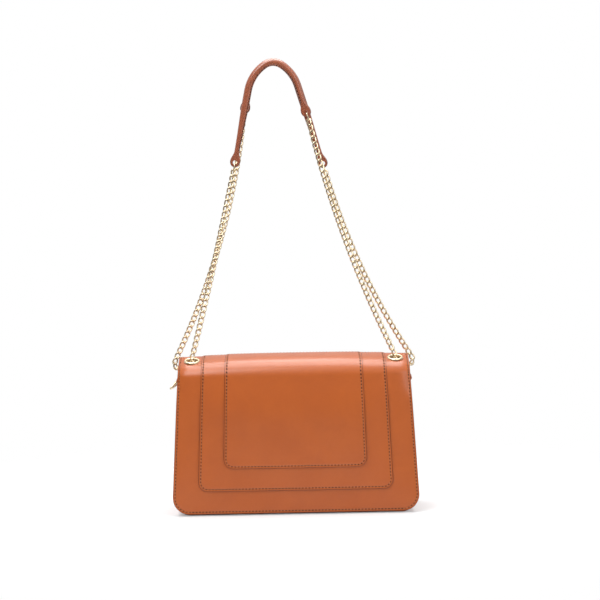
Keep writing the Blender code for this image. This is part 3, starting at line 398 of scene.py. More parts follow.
def gusset_section(x, z, inward, depth):
    """The channel section at one point of the outline, flanges turned inwards."""
    inner = depth + GUSSET_T
    layout = ((0, depth), (0, 0), (FLANGE, 0), (FLANGE, -GUSSET_T), (GUSSET_T, -GUSSET_T))
    layout += ((GUSSET_T, inner), (FLANGE, inner), (FLANGE, depth))
    points = []
    for inset, into in layout:
        at_z = z + inset * inward[1]
        y = front_y(at_z, into) if into > 0 else GUSSET_BACK_Y + into
        points.append((x + inset * inward[0], y, at_z))
    return points


def gusset_strip():
    """The whole channel, from above its left end round the base to above its right end."""
    top = HINGE_Z + BOSS_R + GUSSET_CUT_REACH
    sections = []
    for (x, z), (to_x, to_z) in zip(pouch_outline(top), pouch_outline(top, FLANGE)):
        inward = ((to_x - x) / FLANGE, (to_z - z) / FLANGE)
        sections.append(gusset_section(x, z, inward, FRONT_DEPTH + PANEL_T + GAP))
    return lofted("gusset_leather", sections)


def gusset_top_cutter():
    """What is cut from above the gusset: a slope at the front and a round boss at the hinge."""
    top = HINGE_Z + BOSS_R + 2 * GUSSET_CUT_REACH
    near = front_y(FRONT_PANEL_TOP, FRONT_DEPTH)
    run = HINGE_Y - near
    rise = HINGE_Z - FRONT_PANEL_TOP
    slope = math.atan2(rise, run) + math.asin(BOSS_R / math.hypot(run, rise))
    edge = [(near, FRONT_PANEL_TOP)]
    for k in range(BOSS_STEPS + 1):
        turn = (math.pi / 2 + slope) * (1 - k / BOSS_STEPS)
        edge.append((HINGE_Y + BOSS_R * math.cos(turn), HINGE_Z + BOSS_R * math.sin(turn)))
    far = edge[-1][0] + GUSSET_CUT_REACH
    clear = near - GUSSET_CUT_REACH
    edge += [(far, HINGE_Z), (far, top), (clear, top), (clear, FRONT_PANEL_TOP)]
    reach = POUCH_HALF_BASE + GUSSET_CUT_REACH
    return lofted("gusset_top_cutter", [[(x, y, z) for y, z in edge] for x in (-reach, reach)])


gusset = gusset_strip()
cut_with(gusset, gusset_top_cutter())
RING_BELOW_HINGE = 0.0081
RING_WIRE_D = 0.0022
RING_TILT = math.radians(6)
RING_TAB_LENGTH = 0.0260
RING_TAB_LEATHER = 0.0012
RIVET_FROM_END = 0.0080
LOOP_R = RING_WIRE_D / 2 + GAP + RING_TAB_LEATHER
RING_Z = HINGE_Z - RING_BELOW_HINGE
SIDES = {-1: "left", 1: "right"}


def ring_frame(side):
    """Outward, bar and upward directions at a D-ring's tab, and the middle of its bar."""
    normal = web_normal(side)
    bar = Vector((0, math.cos(RING_TILT), math.sin(RING_TILT)))
    up = side * normal.cross(bar)
    centre = Vector((side * side_x(RING_Z), 0, RING_Z)) + (GAP + LOOP_R) * normal
    return normal, bar, up, centre


def rivet_centre(side):
    """Point on the gusset's outer face under a tab's rivet."""
    normal, bar, up, centre = ring_frame(side)
    return centre - (LOOP_R + GAP) * normal - (RING_TAB_LENGTH - RIVET_FROM_END) * up


def gusset_end(side):
    """Point on the gusset's outer face on the flap's hinge line."""
    return Vector((side * side_x(HINGE_Z), HINGE_Y, HINGE_Z))


def node_group(name, kind, inputs, outputs):
    """A new node group: its tree, the outputs of its first node and its last node."""
    tree = bpy.data.node_groups.new(name, kind)
    for in_out, sockets in (("INPUT", inputs), ("OUTPUT", outputs)):
        for label, sort in sockets.items():
            tree.interface.new_socket(label, in_out=in_out, socket_type="NodeSocket" + sort)
    return tree, add(tree, "NodeGroupInput").outputs, add(tree, "NodeGroupOutput")


def blended(tree, share, first, second):
    """Two colours mixed by a share."""
    mix = add(tree, "ShaderNodeMix", {0: share, 6: first, 7: second}, data_type="RGBA")
    return mix.outputs[2]


def noisy(tree, where, scale, detail=3.0, roughness=0.5, distortion=0.0):
    """Cloudy noise."""
    looks = {"Scale": scale, "Detail": detail, "Roughness": roughness, "Distortion": distortion}
    return add(tree, "ShaderNodeTexNoise", {"Vector": where, **looks}).outputs["Fac"]


def bumped(tree, height, strength, distance):
    """Fine relief that is left to the shader."""
    looks = {"Height": height, "Strength": strength, "Distance": distance}
    return add(tree, "ShaderNodeBump", looks)


LEATHER_LOOKS = {"Tan": "Color", "Deep": "Color", "Edge": "Color"}
LEATHER_LOOKS |= {"Mottle": "Float", "Gloss": "Float", "Grain": "Float"}
LEATHER_RESULTS = {"Colour": "Color", "Roughness": "Float", "Height": "Float", "Polish": "Float"}
EDGE_PAINT = (0.062, 0.015, 0.005)
PAINT_ENDS = (0.00015, 0.0005)
BURNISH_ENDS = (0.0004, 0.0022)
BURNISH = 0.5
WAX_ROUGHNESS = 0.27


def leather_grain():
    """Mottled tan leather with fine grain, darker and duller at its painted edge."""
    ends = node_group("leather_grain", "ShaderNodeTree", LEATHER_LOOKS, LEATHER_RESULTS)
    tree, given, result = ends
    where = coordinates(tree, "Object")
    cloudy = noisy(tree, where, 26.0, 6.0, 0.62, 0.6)
    fine = noisy(tree, where, 420.0, 3.0, 0.6)
    pores = add(tree, "ShaderNodeTexVoronoi", {"Vector": where, "Scale": 1900.0})
    cells = {"Vector": where, "Scale": 900.0}
    creases = add(tree, "ShaderNodeTexVoronoi", cells, feature="DISTANCE_TO_EDGE")
    patches = spread(tree, cloudy, 0.34, 0.68, smooth=False)
    specks = spread(tree, fine, 0.3, 0.75, smooth=False)
    both = maths(tree, "MULTIPLY_ADD", specks, 0.35, patches)
    share = maths(tree, "MULTIPLY", both, given["Mottle"])
    body = blended(tree, share, given["Tan"], given["Deep"])
    inset = add(tree, "ShaderNodeAttribute", attribute_name="inset").outputs["Fac"]
    painted = spread(tree, inset, *PAINT_ENDS, 1.0, 0.0)
    burnished = spread(tree, inset, *BURNISH_ENDS, BURNISH, 0.0)
    rubbed = blended(tree, burnished, body, given["Deep"])
    colour = blended(tree, painted, rubbed, given["Edge"])
    dull = maths(tree, "MULTIPLY_ADD", patches, 0.08, given["Gloss"])
    worn = maths(tree, "MULTIPLY_ADD", fine, 0.08, dull)
    pitted = maths(tree, "MULTIPLY_ADD", pores.outputs["Distance"], 0.35, fine)
    folded = maths(tree, "MULTIPLY_ADD", creases.outputs["Distance"], 0.8, pitted)
    waved = maths(tree, "MULTIPLY_ADD", cloudy, 4.0, folded)
    height = maths(tree, "MULTIPLY", waved, given["Grain"])
    polish = maths(tree, "SUBTRACT", 1.0, painted)
    feed(tree, result, dict(zip(LEATHER_RESULTS, (colour, worn, height, polish))))
    return tree


LEATHER_GRAIN = leather_grain()


def leather(name, tan, deep, mottle, gloss, grain, coat, shine=0.5):
    """A leather of the bag, with its own tan, deeper tone and polish."""
    material, tree, shader = nodes_of(name)
    looks = dict(zip(LEATHER_LOOKS, (tan, deep, EDGE_PAINT, mottle, gloss, grain)))
    group = add(tree, "ShaderNodeGroup", looks, node_tree=LEATHER_GRAIN).outputs
    feed(tree, shader, {
        "Base Color": group["Colour"],
        "Roughness": group["Roughness"],
        "Normal": bumped(tree, group["Height"], 0.35, 0.00008),
        "Specular IOR Level": shine,
        "Coat Weight": maths(tree, "MULTIPLY", group["Polish"], coat),
        "Coat Roughness": WAX_ROUGHNESS,
    })
    return material


POUCH_TANS = ((0.415, 0.098, 0.018), (0.330, 0.074, 0.014))
pouch_leather = leather("pouch_leather", *POUCH_TANS, 0.5, 0.36, 1.0, 0.15)
for side in SIDES:
    cut_hole(gusset, gusset_end(side), web_normal(side), GUSSET_BORE_R + BARREL_WALL + GAP)
    cut_hole(gusset, rivet_centre(side), web_normal(side), RIVET_SHANK_R + GAP)
soften(gusset, GUSSET_SOFTENING)
full_inset(gusset)
dress(gusset, pouch_leather, "pouch", "gusset")

# Base board: a stiff board of pressed grey fibre, cut to the pouch's inside. It lies loose on
# the gusset's floor, under the lining, and keeps the base flat.
board_looks = (0.85, 0.0, 0.2, 1400.0, 0.00006)


def plain_finish(name, colour, roughness, metallic=0.0, uneven=0.12, scale=900.0, depth=0.00003):
    """A finish with a little unevenness in tone and polish: thread, cloth, metal or board."""
    material, tree, shader = nodes_of(name)
    cloudy = noisy(tree, coordinates(tree, "Object"), scale)
    darker = tuple(c * (1 - 2 * uneven) for c in colour)
    ends = (roughness * (1 - uneven), roughness * (1 + uneven))
    feed(tree, shader, {
        "Base Color": blended(tree, cloudy, colour, darker),
        "Roughness": spread(tree, cloudy, 0.0, 1.0, *ends, smooth=False),
        "Normal": bumped(tree, cloudy, 0.4, depth),
        "Metallic": metallic,
    })
    return material


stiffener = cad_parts["base_stiffener"]
stiffener.data.materials.clear()
stiffener.data.materials.append(plain_finish("bag_board", (0.220, 0.200, 0.170), *board_looks))

# Chain eyelets: turned brass rims, plated pale gold, whose barrels go through the leather and
# are rolled over a steel washer behind it. The gusset's pair lies on the flap's hinge line.
METAL_DEPTH = 0.00001
gold_looks = (0.39, 1.0, 0.06, 160.0, METAL_DEPTH)
pale_gold = plain_finish("pale_gold", (0.980, 0.820, 0.580), *gold_looks)
steel_looks = (0.32, 1.0, 0.08, 300.0, METAL_DEPTH)
satin_steel = plain_finish("satin_steel", (0.560, 0.550, 0.530), *steel_looks)
GUSSET_EYELET_R = 0.0070
GUSSET_EYELET_DOME = 0.0016
WASHER_T = 0.0006
LIP_T = 0.0006
LIP_W = 0.0011
LIP_OUT_R = LIP_T / 2
RIM_ROUND = 0.0003
WASHER_ROUND = 0.00015
TURNED_FACETS = 40
TURNED_SHARP = math.radians(38)


def turned(node, outline, centre, axis, body, facets=TURNED_FACETS, finish=pale_gold, slot=None):
    """A turned metal piece from its outline (radius, height along the axis)."""
    u, v = crossed(axis)
    rings = [circle(centre + h * axis, r * u, r * v, facets) for r, h in outline]
    hollow = max(outline[0][0], outline[-1][0]) > WELD
    piece = lofted(node + "_metal", rings, closed=hollow)
    piece.data.set_sharp_from_angle(angle=TURNED_SHARP)
    dress(piece, finish, body, node, slot=slot)


def arc(x, y, radius, start, end, steps=6, rise=None):
    """Points of an arc in an outline; rise is its second radius where it isn't round."""
    swings = [math.radians(start + (end - start) * k / steps) for k in range(steps + 1)]
    rise = radius if rise is None else rise
    return [(x + radius * math.cos(s), y + rise * math.sin(s)) for s in swings]


def eyelet(node, centre, axis, rim_r, bore_r, dome, stack, body):
    """A rolled rim, its barrel and the lip that is set over the washer."""
    lip = -(stack + 2 * GAP + WASHER_T)
    barrel = bore_r + BARREL_WALL
    half = (rim_r - bore_r) / 2
    outline = arc(bore_r + half, GAP + dome * 0.2, half, 180, 0, 12, dome * 0.8)
    outline += arc(rim_r - RIM_ROUND, GAP + RIM_ROUND, RIM_ROUND, 0, -90, 3)
    outline += [(barrel, GAP), (barrel, lip)]
    outline += arc(barrel + LIP_W - LIP_OUT_R, lip - LIP_OUT_R, LIP_OUT_R, 90, -90)
    outline += arc(bore_r + LIP_T, lip - LIP_T * 0.4, LIP_T, -90, -180, 4, LIP_T * 0.6)
    turned(node, outline, centre, axis, body)


def washer(node, centre, axis, rim_r, bore_r, stack, body):
    """A flat steel ring with softened edges."""
    r = WASHER_ROUND
    top = -(stack + GAP)
    near, far = bore_r + GAP + r, rim_r - r
    high, low = top - r, top - WASHER_T + r
    outline = arc(near, high, r, 180, 90, 3) + arc(far, high, r, 90, 0, 3)
    outline += arc(far, low, r, 0, -90, 3) + arc(near, low, r, -90, -180, 3)
    turned(node, outline, centre, axis, body, finish=satin_steel, slot="steel")


for side, word in SIDES.items():
    place = (gusset_end(side), web_normal(side), GUSSET_EYELET_R)
    eyelet(f"gusset_eyelet_{word}", *place, GUSSET_BORE_R, GUSSET_EYELET_DOME, GUSSET_T, "pouch")
    washer(f"gusset_washer_{word}", *place, GUSSET_BORE_R + BARREL_WALL, GUSSET_T, "pouch")

# D-rings: bent wire rings in folded leather tabs that are riveted to the gusset, one a side, for
# a longer strap. The left one hangs out and down, and the right one lies turned up.
FLAP_TANS = ((0.462, 0.099, 0.012), (0.380, 0.075, 0.009))
flap_leather = leather("flap_leather", *FLAP_TANS, 0.45, 0.38, 1.0, 0.8, 0.25)
RING_WIDTH = 0.0120
RING_DROP = 0.0112
RING_CORNER_R = 0.0016
RING_ANGLES = {-1: math.radians(-45), 1: math.radians(97)}
RING_TAB_WIDTH = 0.0108
RIVET_R = 0.0030
RIVET_DOME = 0.0013
RIVET_TAIL_T = 0.0008
RING_FACETS = 12
RING_BAR_STEPS = 8
RIVET_FACETS = 24
TAB_SOFTENING = 0.0003


def wire(name, points, radius, sides, normal=None, phase=0.0):
    """A closed ring of wire round a centreline; a flat ring gives its normal."""
    rings = []
    for k, point in enumerate(points):
        along = (points[(k + 1) % len(points)] - points[k - 1]).normalized()
        out = point - point.dot(along) * along if normal is None else along.cross(normal)
        out.normalize()
        around = along.cross(out) if normal is None else normal
        rings.append(circle(point, radius * out, radius * around, sides, phase))
    return lofted(name, rings, closed=True)


def d_ring(side, word):
    """A straight bar and a round bow, bent from one wire."""
    normal, bar, up, centre = ring_frame(side)
    away = math.cos(RING_ANGLES[side]) * normal + math.sin(RING_ANGLES[side]) * up
    half = (RING_WIDTH + RING_WIRE_D) / 2
    r = RING_CORNER_R
    corner = arc(half - r, r, r, -90, 0)
    bow = arc(0, r, half, 0, 180, 26, RING_DROP - r)[1:-1]
    outline = corner + bow + [(-a, b) for a, b in reversed(corner)]
    outline += [((half - r) * (2 * k / RING_BAR_STEPS - 1), 0) for k in range(1, RING_BAR_STEPS)]
    points = [centre + a * bar + b * away for a, b in outline]
    ring = wire(f"d_ring_{word}_metal", points, RING_WIRE_D / 2, RING_FACETS, bar.cross(away))
    dress(ring, pale_gold, f"ring_{word}", f"d_ring_{word}")


def ring_tab(side, word):
    """A strip folded round the bar: the loop, and its two layers that lie on each other."""
    normal, bar, up, centre = ring_frame(side)
    face = 2 * RING_TAB_LEATHER - LOOP_R
    low = -90 + math.degrees(math.asin(face / LOOP_R))
    outline = [(-LOOP_R, -RING_TAB_LENGTH), (face, -RING_TAB_LENGTH)]
    outline += arc(0, 0, LOOP_R, low, 180, 20)
    half = RING_TAB_WIDTH / 2
    edges = [[centre + a * normal + b * up + c * bar for a, b in outline] for c in (-half, half)]
    tab = lofted(f"ring_tab_{word}_leather", edges)
    cut_hole(tab, centre, bar, LOOP_R - RING_TAB_LEATHER, RING_TAB_WIDTH)
    cut_hole(tab, rivet_centre(side), normal, RIVET_SHANK_R + GAP)
    soften(tab, TAB_SOFTENING)
    full_inset(tab)
    dress(tab, flap_leather, "pouch", f"ring_tab_{word}")


def ring_rivet(side, word):
    """A capped rivet through the tab and the gusset."""
    head = 2 * GAP + 2 * RING_TAB_LEATHER
    tail = -(GUSSET_T + GAP)
    end = tail - RIVET_TAIL_T
    outline = arc(0, head, RIVET_R, 90, 0, 8, RIVET_DOME)
    outline += [(RIVET_SHANK_R, head), (RIVET_SHANK_R, tail), (RIVET_R, tail)]
    outline += [(RIVET_R, tail - RIVET_TAIL_T * 0.6), (RIVET_R * 0.85, end), (0, end)]
    place = (rivet_centre(side), web_normal(side))
    turned(f"ring_rivet_{word}", outline, *place, "pouch", RIVET_FACETS)


for side, word in SIDES.items():
    d_ring(side, word)
    ring_tab(side, word)
    ring_rivet(side, word)

# Stitches and needle holes: one stitch is a short fat strand of thread that dips into the leather at
# both ends, and one hole is a shallow dimple coloured near black, a painted shade that stands in for
# the shadow inside the hole. Both are made small and set along the seams.
THREAD_LOOKS = (0.0, 0.22, 3500.0)
tonal_thread = plain_finish("tonal_thread", (0.560, 0.210, 0.075), 0.62, *THREAD_LOOKS)
# The needle holes' near-black colour is painted shade: the shadow that falls inside each hole, put on
# a shallow dimple.
painted_hole_shade = plain_finish("painted_hole_shade", (0.085, 0.020, 0.005), 0.95)
STITCH_PITCH = 0.0033
STITCH_LENGTH = 0.0019
STITCH_R = 0.00034
STITCH_SIDES = 6
STITCH_SLANT = math.radians(9)
SEAM_FEEL = 0.0005
HOLE_R = 0.00086
HOLE_T = 0.00010
HOLE_RIM_T = 0.00002
HOLE_SIDES = 8


def small_shape(name, sections, sides):
    """A shape along +X, alike at both ends, from its (x, half width, half height, rise)."""
    rings = []
    for end in (-1, 1):
        for x, across, up, rise in sections[::end]:
            middle = Vector((end * x, 0, rise))
            rings.append(circle(middle, Vector((0, across, 0)), Vector((0, 0, up)), sides))
    return lofted(name, rings)


half = STITCH_LENGTH / 2
r = STITCH_R
strand = ((0.35 * half, r, r, 0), (0.8 * half, 0.9 * r, 0.8 * r, -0.35 * r))
strand += ((half, 0.4 * r, 0.4 * r, -r),)
stitch_shape = small_shape("stitch_shape", strand, STITCH_SIDES)
r = HOLE_R
dimple = ((0.8 * r, 0.9 * r, HOLE_T, 0), (1.25 * r, 0.3 * r, HOLE_RIM_T, 0))
hole_shape = small_shape("hole_shape", dimple, HOLE_SIDES)


def repeat_tree():
    """Geometry nodes that set one small shape at every point, turned by the point's own turn."""
    inputs = {"Geometry": "Geometry", "Shape": "Object", "Size": "Vector", "Finish": "Material"}
    ends = node_group("repeat_along", "GeometryNodeTree", inputs, {"Geometry": "Geometry"})
    tree, given, result = ends
    turn = add(tree, "GeometryNodeInputNamedAttribute", {"Name": "turn"}, data_type="QUATERNION")
    shape = add(tree, "GeometryNodeObjectInfo", {"Object": given["Shape"]}).outputs["Geometry"]
    dots = add(tree, "GeometryNodeMeshToPoints", {"Mesh": given["Geometry"]})
    copies = {"Points": dots, "Instance": shape, "Rotation": turn, "Scale": given["Size"]}
    placed = add(tree, "GeometryNodeInstanceOnPoints", copies)
    whole = add(tree, "GeometryNodeRealizeInstances", {"Geometry": placed})
    finish = {"Geometry": whole, "Material": given["Finish"]}
    feed(tree, result, {"Geometry": add(tree, "GeometryNodeSetMaterial", finish)})
    return tree


REPEAT = repeat_tree()


def repeated(name, shape, places, finish, size=1.0):
    """One plain mesh with a copy of a small shape at each place (point, along, out)."""
    mesh = bpy.data.meshes.new(name)
    mesh.from_pydata([tuple(point) for point, along, out in places], [], [])
    turns = []
    for point, along, out in places:
        side = out.cross(along).normalized()
        turn = Matrix((along.normalized(), side, along.cross(side).normalized())).transposed()
        turns += list(turn.to_quaternion())
    mesh.attributes.new("turn", "QUATERNION", "POINT").data.foreach_set("value", turns)
    thing = link(bpy.data.objects.new(name, mesh))
    change = thing.modifiers.new("repeat", "NODES")
    change.node_group = REPEAT
    values = {"Shape": shape, "Size": (size, size, size), "Finish": finish}
    for item in REPEAT.interface.items_tree:
        if item.in_out == "INPUT" and item.name in values:
            change[item.identifier] = values[item.name]
    return keep_result(thing)


class Route:
    """A line through points, read by distance from its start."""

    def __init__(self, points):
        self.points = [Vector(point) for point in points]
        self.marks = [0.0]
        for before, after in zip(self.points, self.points[1:]):
            self.marks.append(self.marks[-1] + (after - before).length)
        self.length = self.marks[-1]

    def at(self, distance):
        """The point and the direction at a distance."""
        last = len(self.marks) - 1
        k = next((k for k in range(1, last) if distance <= self.marks[k]), last)
        before, after = self.points[k - 1 : k + 1]
        share = (distance - self.marks[k - 1]) / (self.marks[k] - self.marks[k - 1])
        return before.lerp(after, share), (after - before).normalized()


def sewn_seam(name, place, line, height, body, thread=tonal_thread):
    """Stitches and needle holes along a seam on the surface that place gives."""
    route = Route(line)
    count = max(1, round(route.length / STITCH_PITCH))
    pitch = route.length / count
    stitches = []
    holes = []
    for k in range(count):
        spot, ahead = route.at(pitch * (k + 0.5))

        def at(shift, rise):
            return place(*(spot + shift * ahead), height + rise)

        middle = at(0, 0)
        forward = (at(SEAM_FEEL, 0) - at(-SEAM_FEEL, 0)).normalized()
        out = (at(0, 2 * SEAM_FEEL) - middle).normalized()
        stitches.append((middle, Quaternion(out, STITCH_SLANT) @ forward, out))
        holes.append((at(pitch / 2, HOLE_RIM_T), forward, out))
    made = repeated(f"{name}_stitches", stitch_shape, stitches, thread)
    dress(made, thread, body, slot="flap_leather")
    # The holes carry the painted shade of the hole's inside.
    made = repeated(f"{name}_holes", hole_shape, holes, painted_hole_shade)
    dress(made, painted_hole_shade, body, slot="flap_leather")

# Panels: the back and the front of the pouch, cut from firmer tan leather and sewn to the gusset's
# flanges. The back panel is the taller one, and the flap's tail is sewn on its upper part.
EDGE_OFFSETS = (0.0, 0.0002, 0.00045, 0.0008, 0.0012, 0.0016, 0.0020, 0.0024, 0.0029, 0.0038)
EDGE_ROUND = 0.0006
STITCH_IN = 0.0022
GROOVE_DEPTH = 0.00018
GROOVE_HALF = 0.0006
CORNER_STEPS = 10
SEAM_STEP = 0.004
LEAST_ROW = 0.00009
LEAST_BEND = 0.0005
PANEL_TOP_R = 0.003
PANEL_STEPS = (0.006, 0.010)


class Sheet:
    """The outline of a piece of leather: its length, half width and the radii of its corners.

    A radius of None means that the end isn't free, so it has no rounded edge and no stitches."""

    def __init__(self, place, length, half_at, start_r, end_r):
        self.place = place
        self.length = length
        self.half_at = half_at
        self.ends = ((0.0, 1, start_r), (length, -1, end_r))
        self.free_ends = [end for end in self.ends if end[2] is not None]

    def inset(self, across, along):
        """How far inside the outline a spot is."""
        side = self.half_at(along) - abs(across)
        nearest = side
        for start, sign, radius in self.free_ends:
            to_end = sign * (along - start)
            if side < radius and to_end < radius:
                nearest = min(nearest, radius - math.hypot(radius - side, radius - to_end))
            else:
                nearest = min(nearest, to_end)
        return max(0.0, nearest)

    def end_half(self, along):
        """Half width with the round corners taken off."""
        half = self.half_at(along)
        for start, sign, radius in self.free_ends:
            to_end = sign * (along - start)
            if to_end < radius:
                half += math.sqrt(max(0.0, radius**2 - (radius - to_end) ** 2)) - radius
        return half

    def rows(self, step):
        """Distances along the piece, close together at its free ends and corners."""
        found = {0.0, self.length}
        for start, sign, radius in self.free_ends:
            found.update(start + sign * offset for offset in EDGE_OFFSETS)
            swings = [math.pi / 2 * k / CORNER_STEPS for k in range(CORNER_STEPS + 1)]
            found.update(start + sign * radius * (1 - math.cos(swing)) for swing in swings)
        count = max(1, round(self.length / step))
        found.update(self.length * k / count for k in range(count + 1))
        spaced = []
        for row in sorted(found):
            if not spaced or row - spaced[-1] > LEAST_ROW:
                spaced.append(row)
        spaced[-1] = self.length
        return spaced

    def stitch_line(self, inset=STITCH_IN):
        """Points (across, along) of a seam that runs round the free edges."""
        left = []
        for start, sign, radius in self.ends:
            if radius is None:
                left.append((start, 0.0))
                continue
            bend = max(radius - inset, LEAST_BEND)
            for k in range(CORNER_STEPS + 1):
                swing = math.pi / 2 * k / CORNER_STEPS
                turn = math.pi / 2 - swing if sign == 1 else swing
                along = start + sign * (inset + bend * (1 - math.sin(turn)))
                left.append((along, bend * (1 - math.cos(turn))))
        line = []
        for (along, cut), after in zip(left, [*left[1:], None]):
            line.append((inset + cut - self.half_at(along), along))
            gap = after[0] - along if after else 0.0
            between = round(gap / SEAM_STEP)
            for k in range(1, between):
                middle = along + gap * k / between
                line.append((inset - self.half_at(middle), middle))
        mirrored = [(-across, along) for across, along in reversed(line)]
        closed = len(self.free_ends) == 2
        return line + mirrored + ([line[0]] if closed else [])


def sew_shape(name, sheet, thickness, step=0.0025, wide_step=0.005, grooved=True):
    """A closed piece of leather, rounded at its edges and drawn in at its seam."""
    inner = EDGE_OFFSETS[-1]
    middle = 2 * round(sheet.half_at(sheet.length / 2) / wide_step)
    rings = []
    insets = []
    for along in sheet.rows(step):
        end = sheet.end_half(along)
        upper, lower, depths = [], [], []
        spots = [-end + offset for offset in EDGE_OFFSETS]
        spots += [(inner - end) * (1 - 2 * k / middle) for k in range(1, middle)]
        spots += [end - offset for offset in reversed(EDGE_OFFSETS)]
        for across in spots:
            inset = sheet.inset(across, along)
            drop = EDGE_ROUND - math.sqrt(EDGE_ROUND**2 - max(0.0, EDGE_ROUND - inset) ** 2)
            if grooved:
                drop += GROOVE_DEPTH * math.exp(-(((inset - STITCH_IN) / GROOVE_HALF) ** 2))
            upper.append(sheet.place(across, along, thickness - drop))
            lower.append(sheet.place(across, along, 0.0))
            depths.append(inset)
        rings.append(upper + lower[::-1])
        insets += depths + depths[::-1]
    return lofted(name, rings, insets=insets)


def on_back(across, along, height):
    return Vector((across, BACK_INNER_Y + height, BACK_TOP - along))


def on_front(across, along, height):
    z = FRONT_PANEL_TOP - along
    return Vector((across, front_y(z, FRONT_DEPTH + PANEL_T - height), z))


for name, top, place in (("back", BACK_TOP, on_back), ("front", FRONT_PANEL_TOP, on_front)):
    sheet = Sheet(place, top, lambda along: side_x(top - along), PANEL_TOP_R, POUCH_CORNER_R)
    panel = sew_shape(f"{name}_panel_leather", sheet, PANEL_T, *PANEL_STEPS)
    dress(panel, pouch_leather, "pouch", f"{name}_panel")
    sewn_seam(f"{name}_panel", place, sheet.stitch_line(), PANEL_T - GROOVE_DEPTH, "pouch")

# Flap: one skin of tan leather that is sewn on the back panel by its narrower tail, folds over
# the top and hangs down the front, lined with thinner leather. The skin's shape curves round the
# fold, and it is set in place, not on the flap's body.
FOLD_END = TAIL_LENGTH + FOLD_R * FOLD_TURN
SEAT_MIDDLE = UPPER_LENGTH - RIDGE_LENGTH - SEAT_LENGTH / 2
TAIL_END = TAIL_LENGTH - HINGE_DROP
TAIL_INSET = 0.009
TAIL_CORNER_R = 0.010
HINGE_LEAD = 0.0035
FLAP_START = FOLD_END + HINGE_LEAD
FLAP_HALF_FOLD = 0.1145
FLAP_HALF_RIDGE = 0.1160
FLAP_HALF_HEM = 0.1237
FLAP_CORNER_R = 0.0175
FLAP_BEND = ((0, BACK_OUTER_Y, HINGE_Z), (0, HINGE_Y, HINGE_Z))
TAIL_TAPER = (TAIL_END - 0.006, TAIL_END + 0.004)
TOP_RISE = (FOLD_END, FLAP_START + 0.006)
CROWN = 0.0016
CROWN_POWER = 2.5
BELLY = 0.0032
BELLY_RISE = (-0.045, -0.012)
BELLY_FALL = (0.010, 0.125)
DROOPS = {-1: 0.0031, 1: 0.0018}
DROOP_ACROSS = (0.1085, 0.1165)
DROOP_LEAD = 0.016
DROOP_RUN = 0.030
ROUNDING = 0.0028
ROUNDED_ABOVE = 0.010
ROUNDED_BELOW = 0.021
LOOSE_RUN = 0.04
WAVES = ((0.00016, 38, 31, 0.7), (0.00010, 71, -52, 0.0))
PRESSED_RUN = 0.045


def eased(low, high, value):
    """0 below low, 1 above high, and smooth between."""
    share = min(1.0, max(0.0, (value - low) / (high - low)))
    return share * share * (3 - 2 * share)


def on_flap(across, distance, height):
    """Point of the flap at a height above the outer face of its base layer."""
    ahead, z, heading = walk(PROFILE, distance, *PROFILE_START)
    rise = height * math.cos(heading)
    return Vector((across, height * math.sin(heading) - ahead, z + rise))


def flap_half(distance):
    """Half width of the flap: a narrower tail, and two straight flares towards the hem."""
    if distance <= FOLD_END:
        return FLAP_HALF_FOLD - TAIL_INSET * (1 - eased(*TAIL_TAPER, distance))
    if distance <= UPPER_LENGTH:
        share = (distance - FOLD_END) / (UPPER_LENGTH - FOLD_END)
        return FLAP_HALF_FOLD + share * (FLAP_HALF_RIDGE - FLAP_HALF_FOLD)
    share = (distance - UPPER_LENGTH) / FRONT_LENGTH
    return FLAP_HALF_RIDGE + share * (FLAP_HALF_HEM - FLAP_HALF_RIDGE)


def pressed(distance):
    """1 over the top, where the layers are rolled and pressed together, and 0 on the front."""
    return eased(*TOP_RISE, distance) * (1 - eased(0, PRESSED_RUN, distance - UPPER_LENGTH))


def flap_lift(across, distance):
    """The leather crowns over the top, isn't quite flat, and droops at its front corners."""
    below = distance - UPPER_LENGTH
    swell = CROWN * eased(*TOP_RISE, distance) + BELLY * eased(*BELLY_RISE, below)
    rim = max(0.0, 1 - (abs(across) / FLAP_HALF_RIDGE) ** CROWN_POWER)
    crown = swell * (1 - eased(*BELLY_FALL, below)) * rim
    droop = DROOPS[-1 if across < 0 else 1] * eased(*DROOP_ACROSS, abs(across))
    droop *= eased(SEAT_MIDDLE - DROOP_LEAD, SEAT_MIDDLE, distance)
    droop *= 1 - eased(0, DROOP_RUN, below)
    wave = sum(a * math.sin(b * across + c * distance + d) for a, b, c, d in WAVES)
    past = below + RIDGE_LENGTH / 2
    reach = ROUNDED_ABOVE if past < 0 else ROUNDED_BELOW
    rounding = ROUNDING * math.exp(-((past / reach) ** 2))
    return crown + wave * eased(0, LOOSE_RUN, below) - droop - rounding


def flap_place(base, low=0.0, thinning=0.0):
    """A mapping to the flap from a base height over its skin and a distance from its tail."""

    def place(across, along, height):
        distance = along + low
        thinned = 1 - thinning * pressed(distance)
        return on_flap(across, distance, (base + height) * thinned + flap_lift(across, distance))

    return place


skin_place = flap_place(-FLAP_T)
skin_sheet = Sheet(skin_place, PROFILE_LENGTH, flap_half, TAIL_CORNER_R, FLAP_CORNER_R)
flap_skin = sew_shape("flap_skin", skin_sheet, FLAP_T)
seat_centre = on_flap(0, SEAT_MIDDLE, 0)
seat_normal = (on_flap(0, SEAT_MIDDLE, FLAP_T) - seat_centre).normalized()
FLAP_EYELET_IN = 0.0145
FLAP_EYELET_X = FLAP_HALF_RIDGE - FLAP_EYELET_IN
FLAP_EYELET_R = 0.0080
FLAP_BORE_R = 0.0055
FLAP_EYELET_DOME = 0.0020
FLAP_BARREL_R = FLAP_BORE_R + BARREL_WALL
FLAP_EYELETS = {side: seat_centre + Vector((side * FLAP_EYELET_X, 0, 0)) for side in SIDES}
for centre in FLAP_EYELETS.values():
    cut_hole(flap_skin, centre, seat_normal, FLAP_BARREL_R + GAP)
dress(flap_skin, flap_leather, FLAP_BEND, "flap_base", "flap_fold", "flap_tail")
sewn_seam("flap_skin", skin_place, skin_sheet.stitch_line(), FLAP_T - GROOVE_DEPTH, FLAP_BEND)

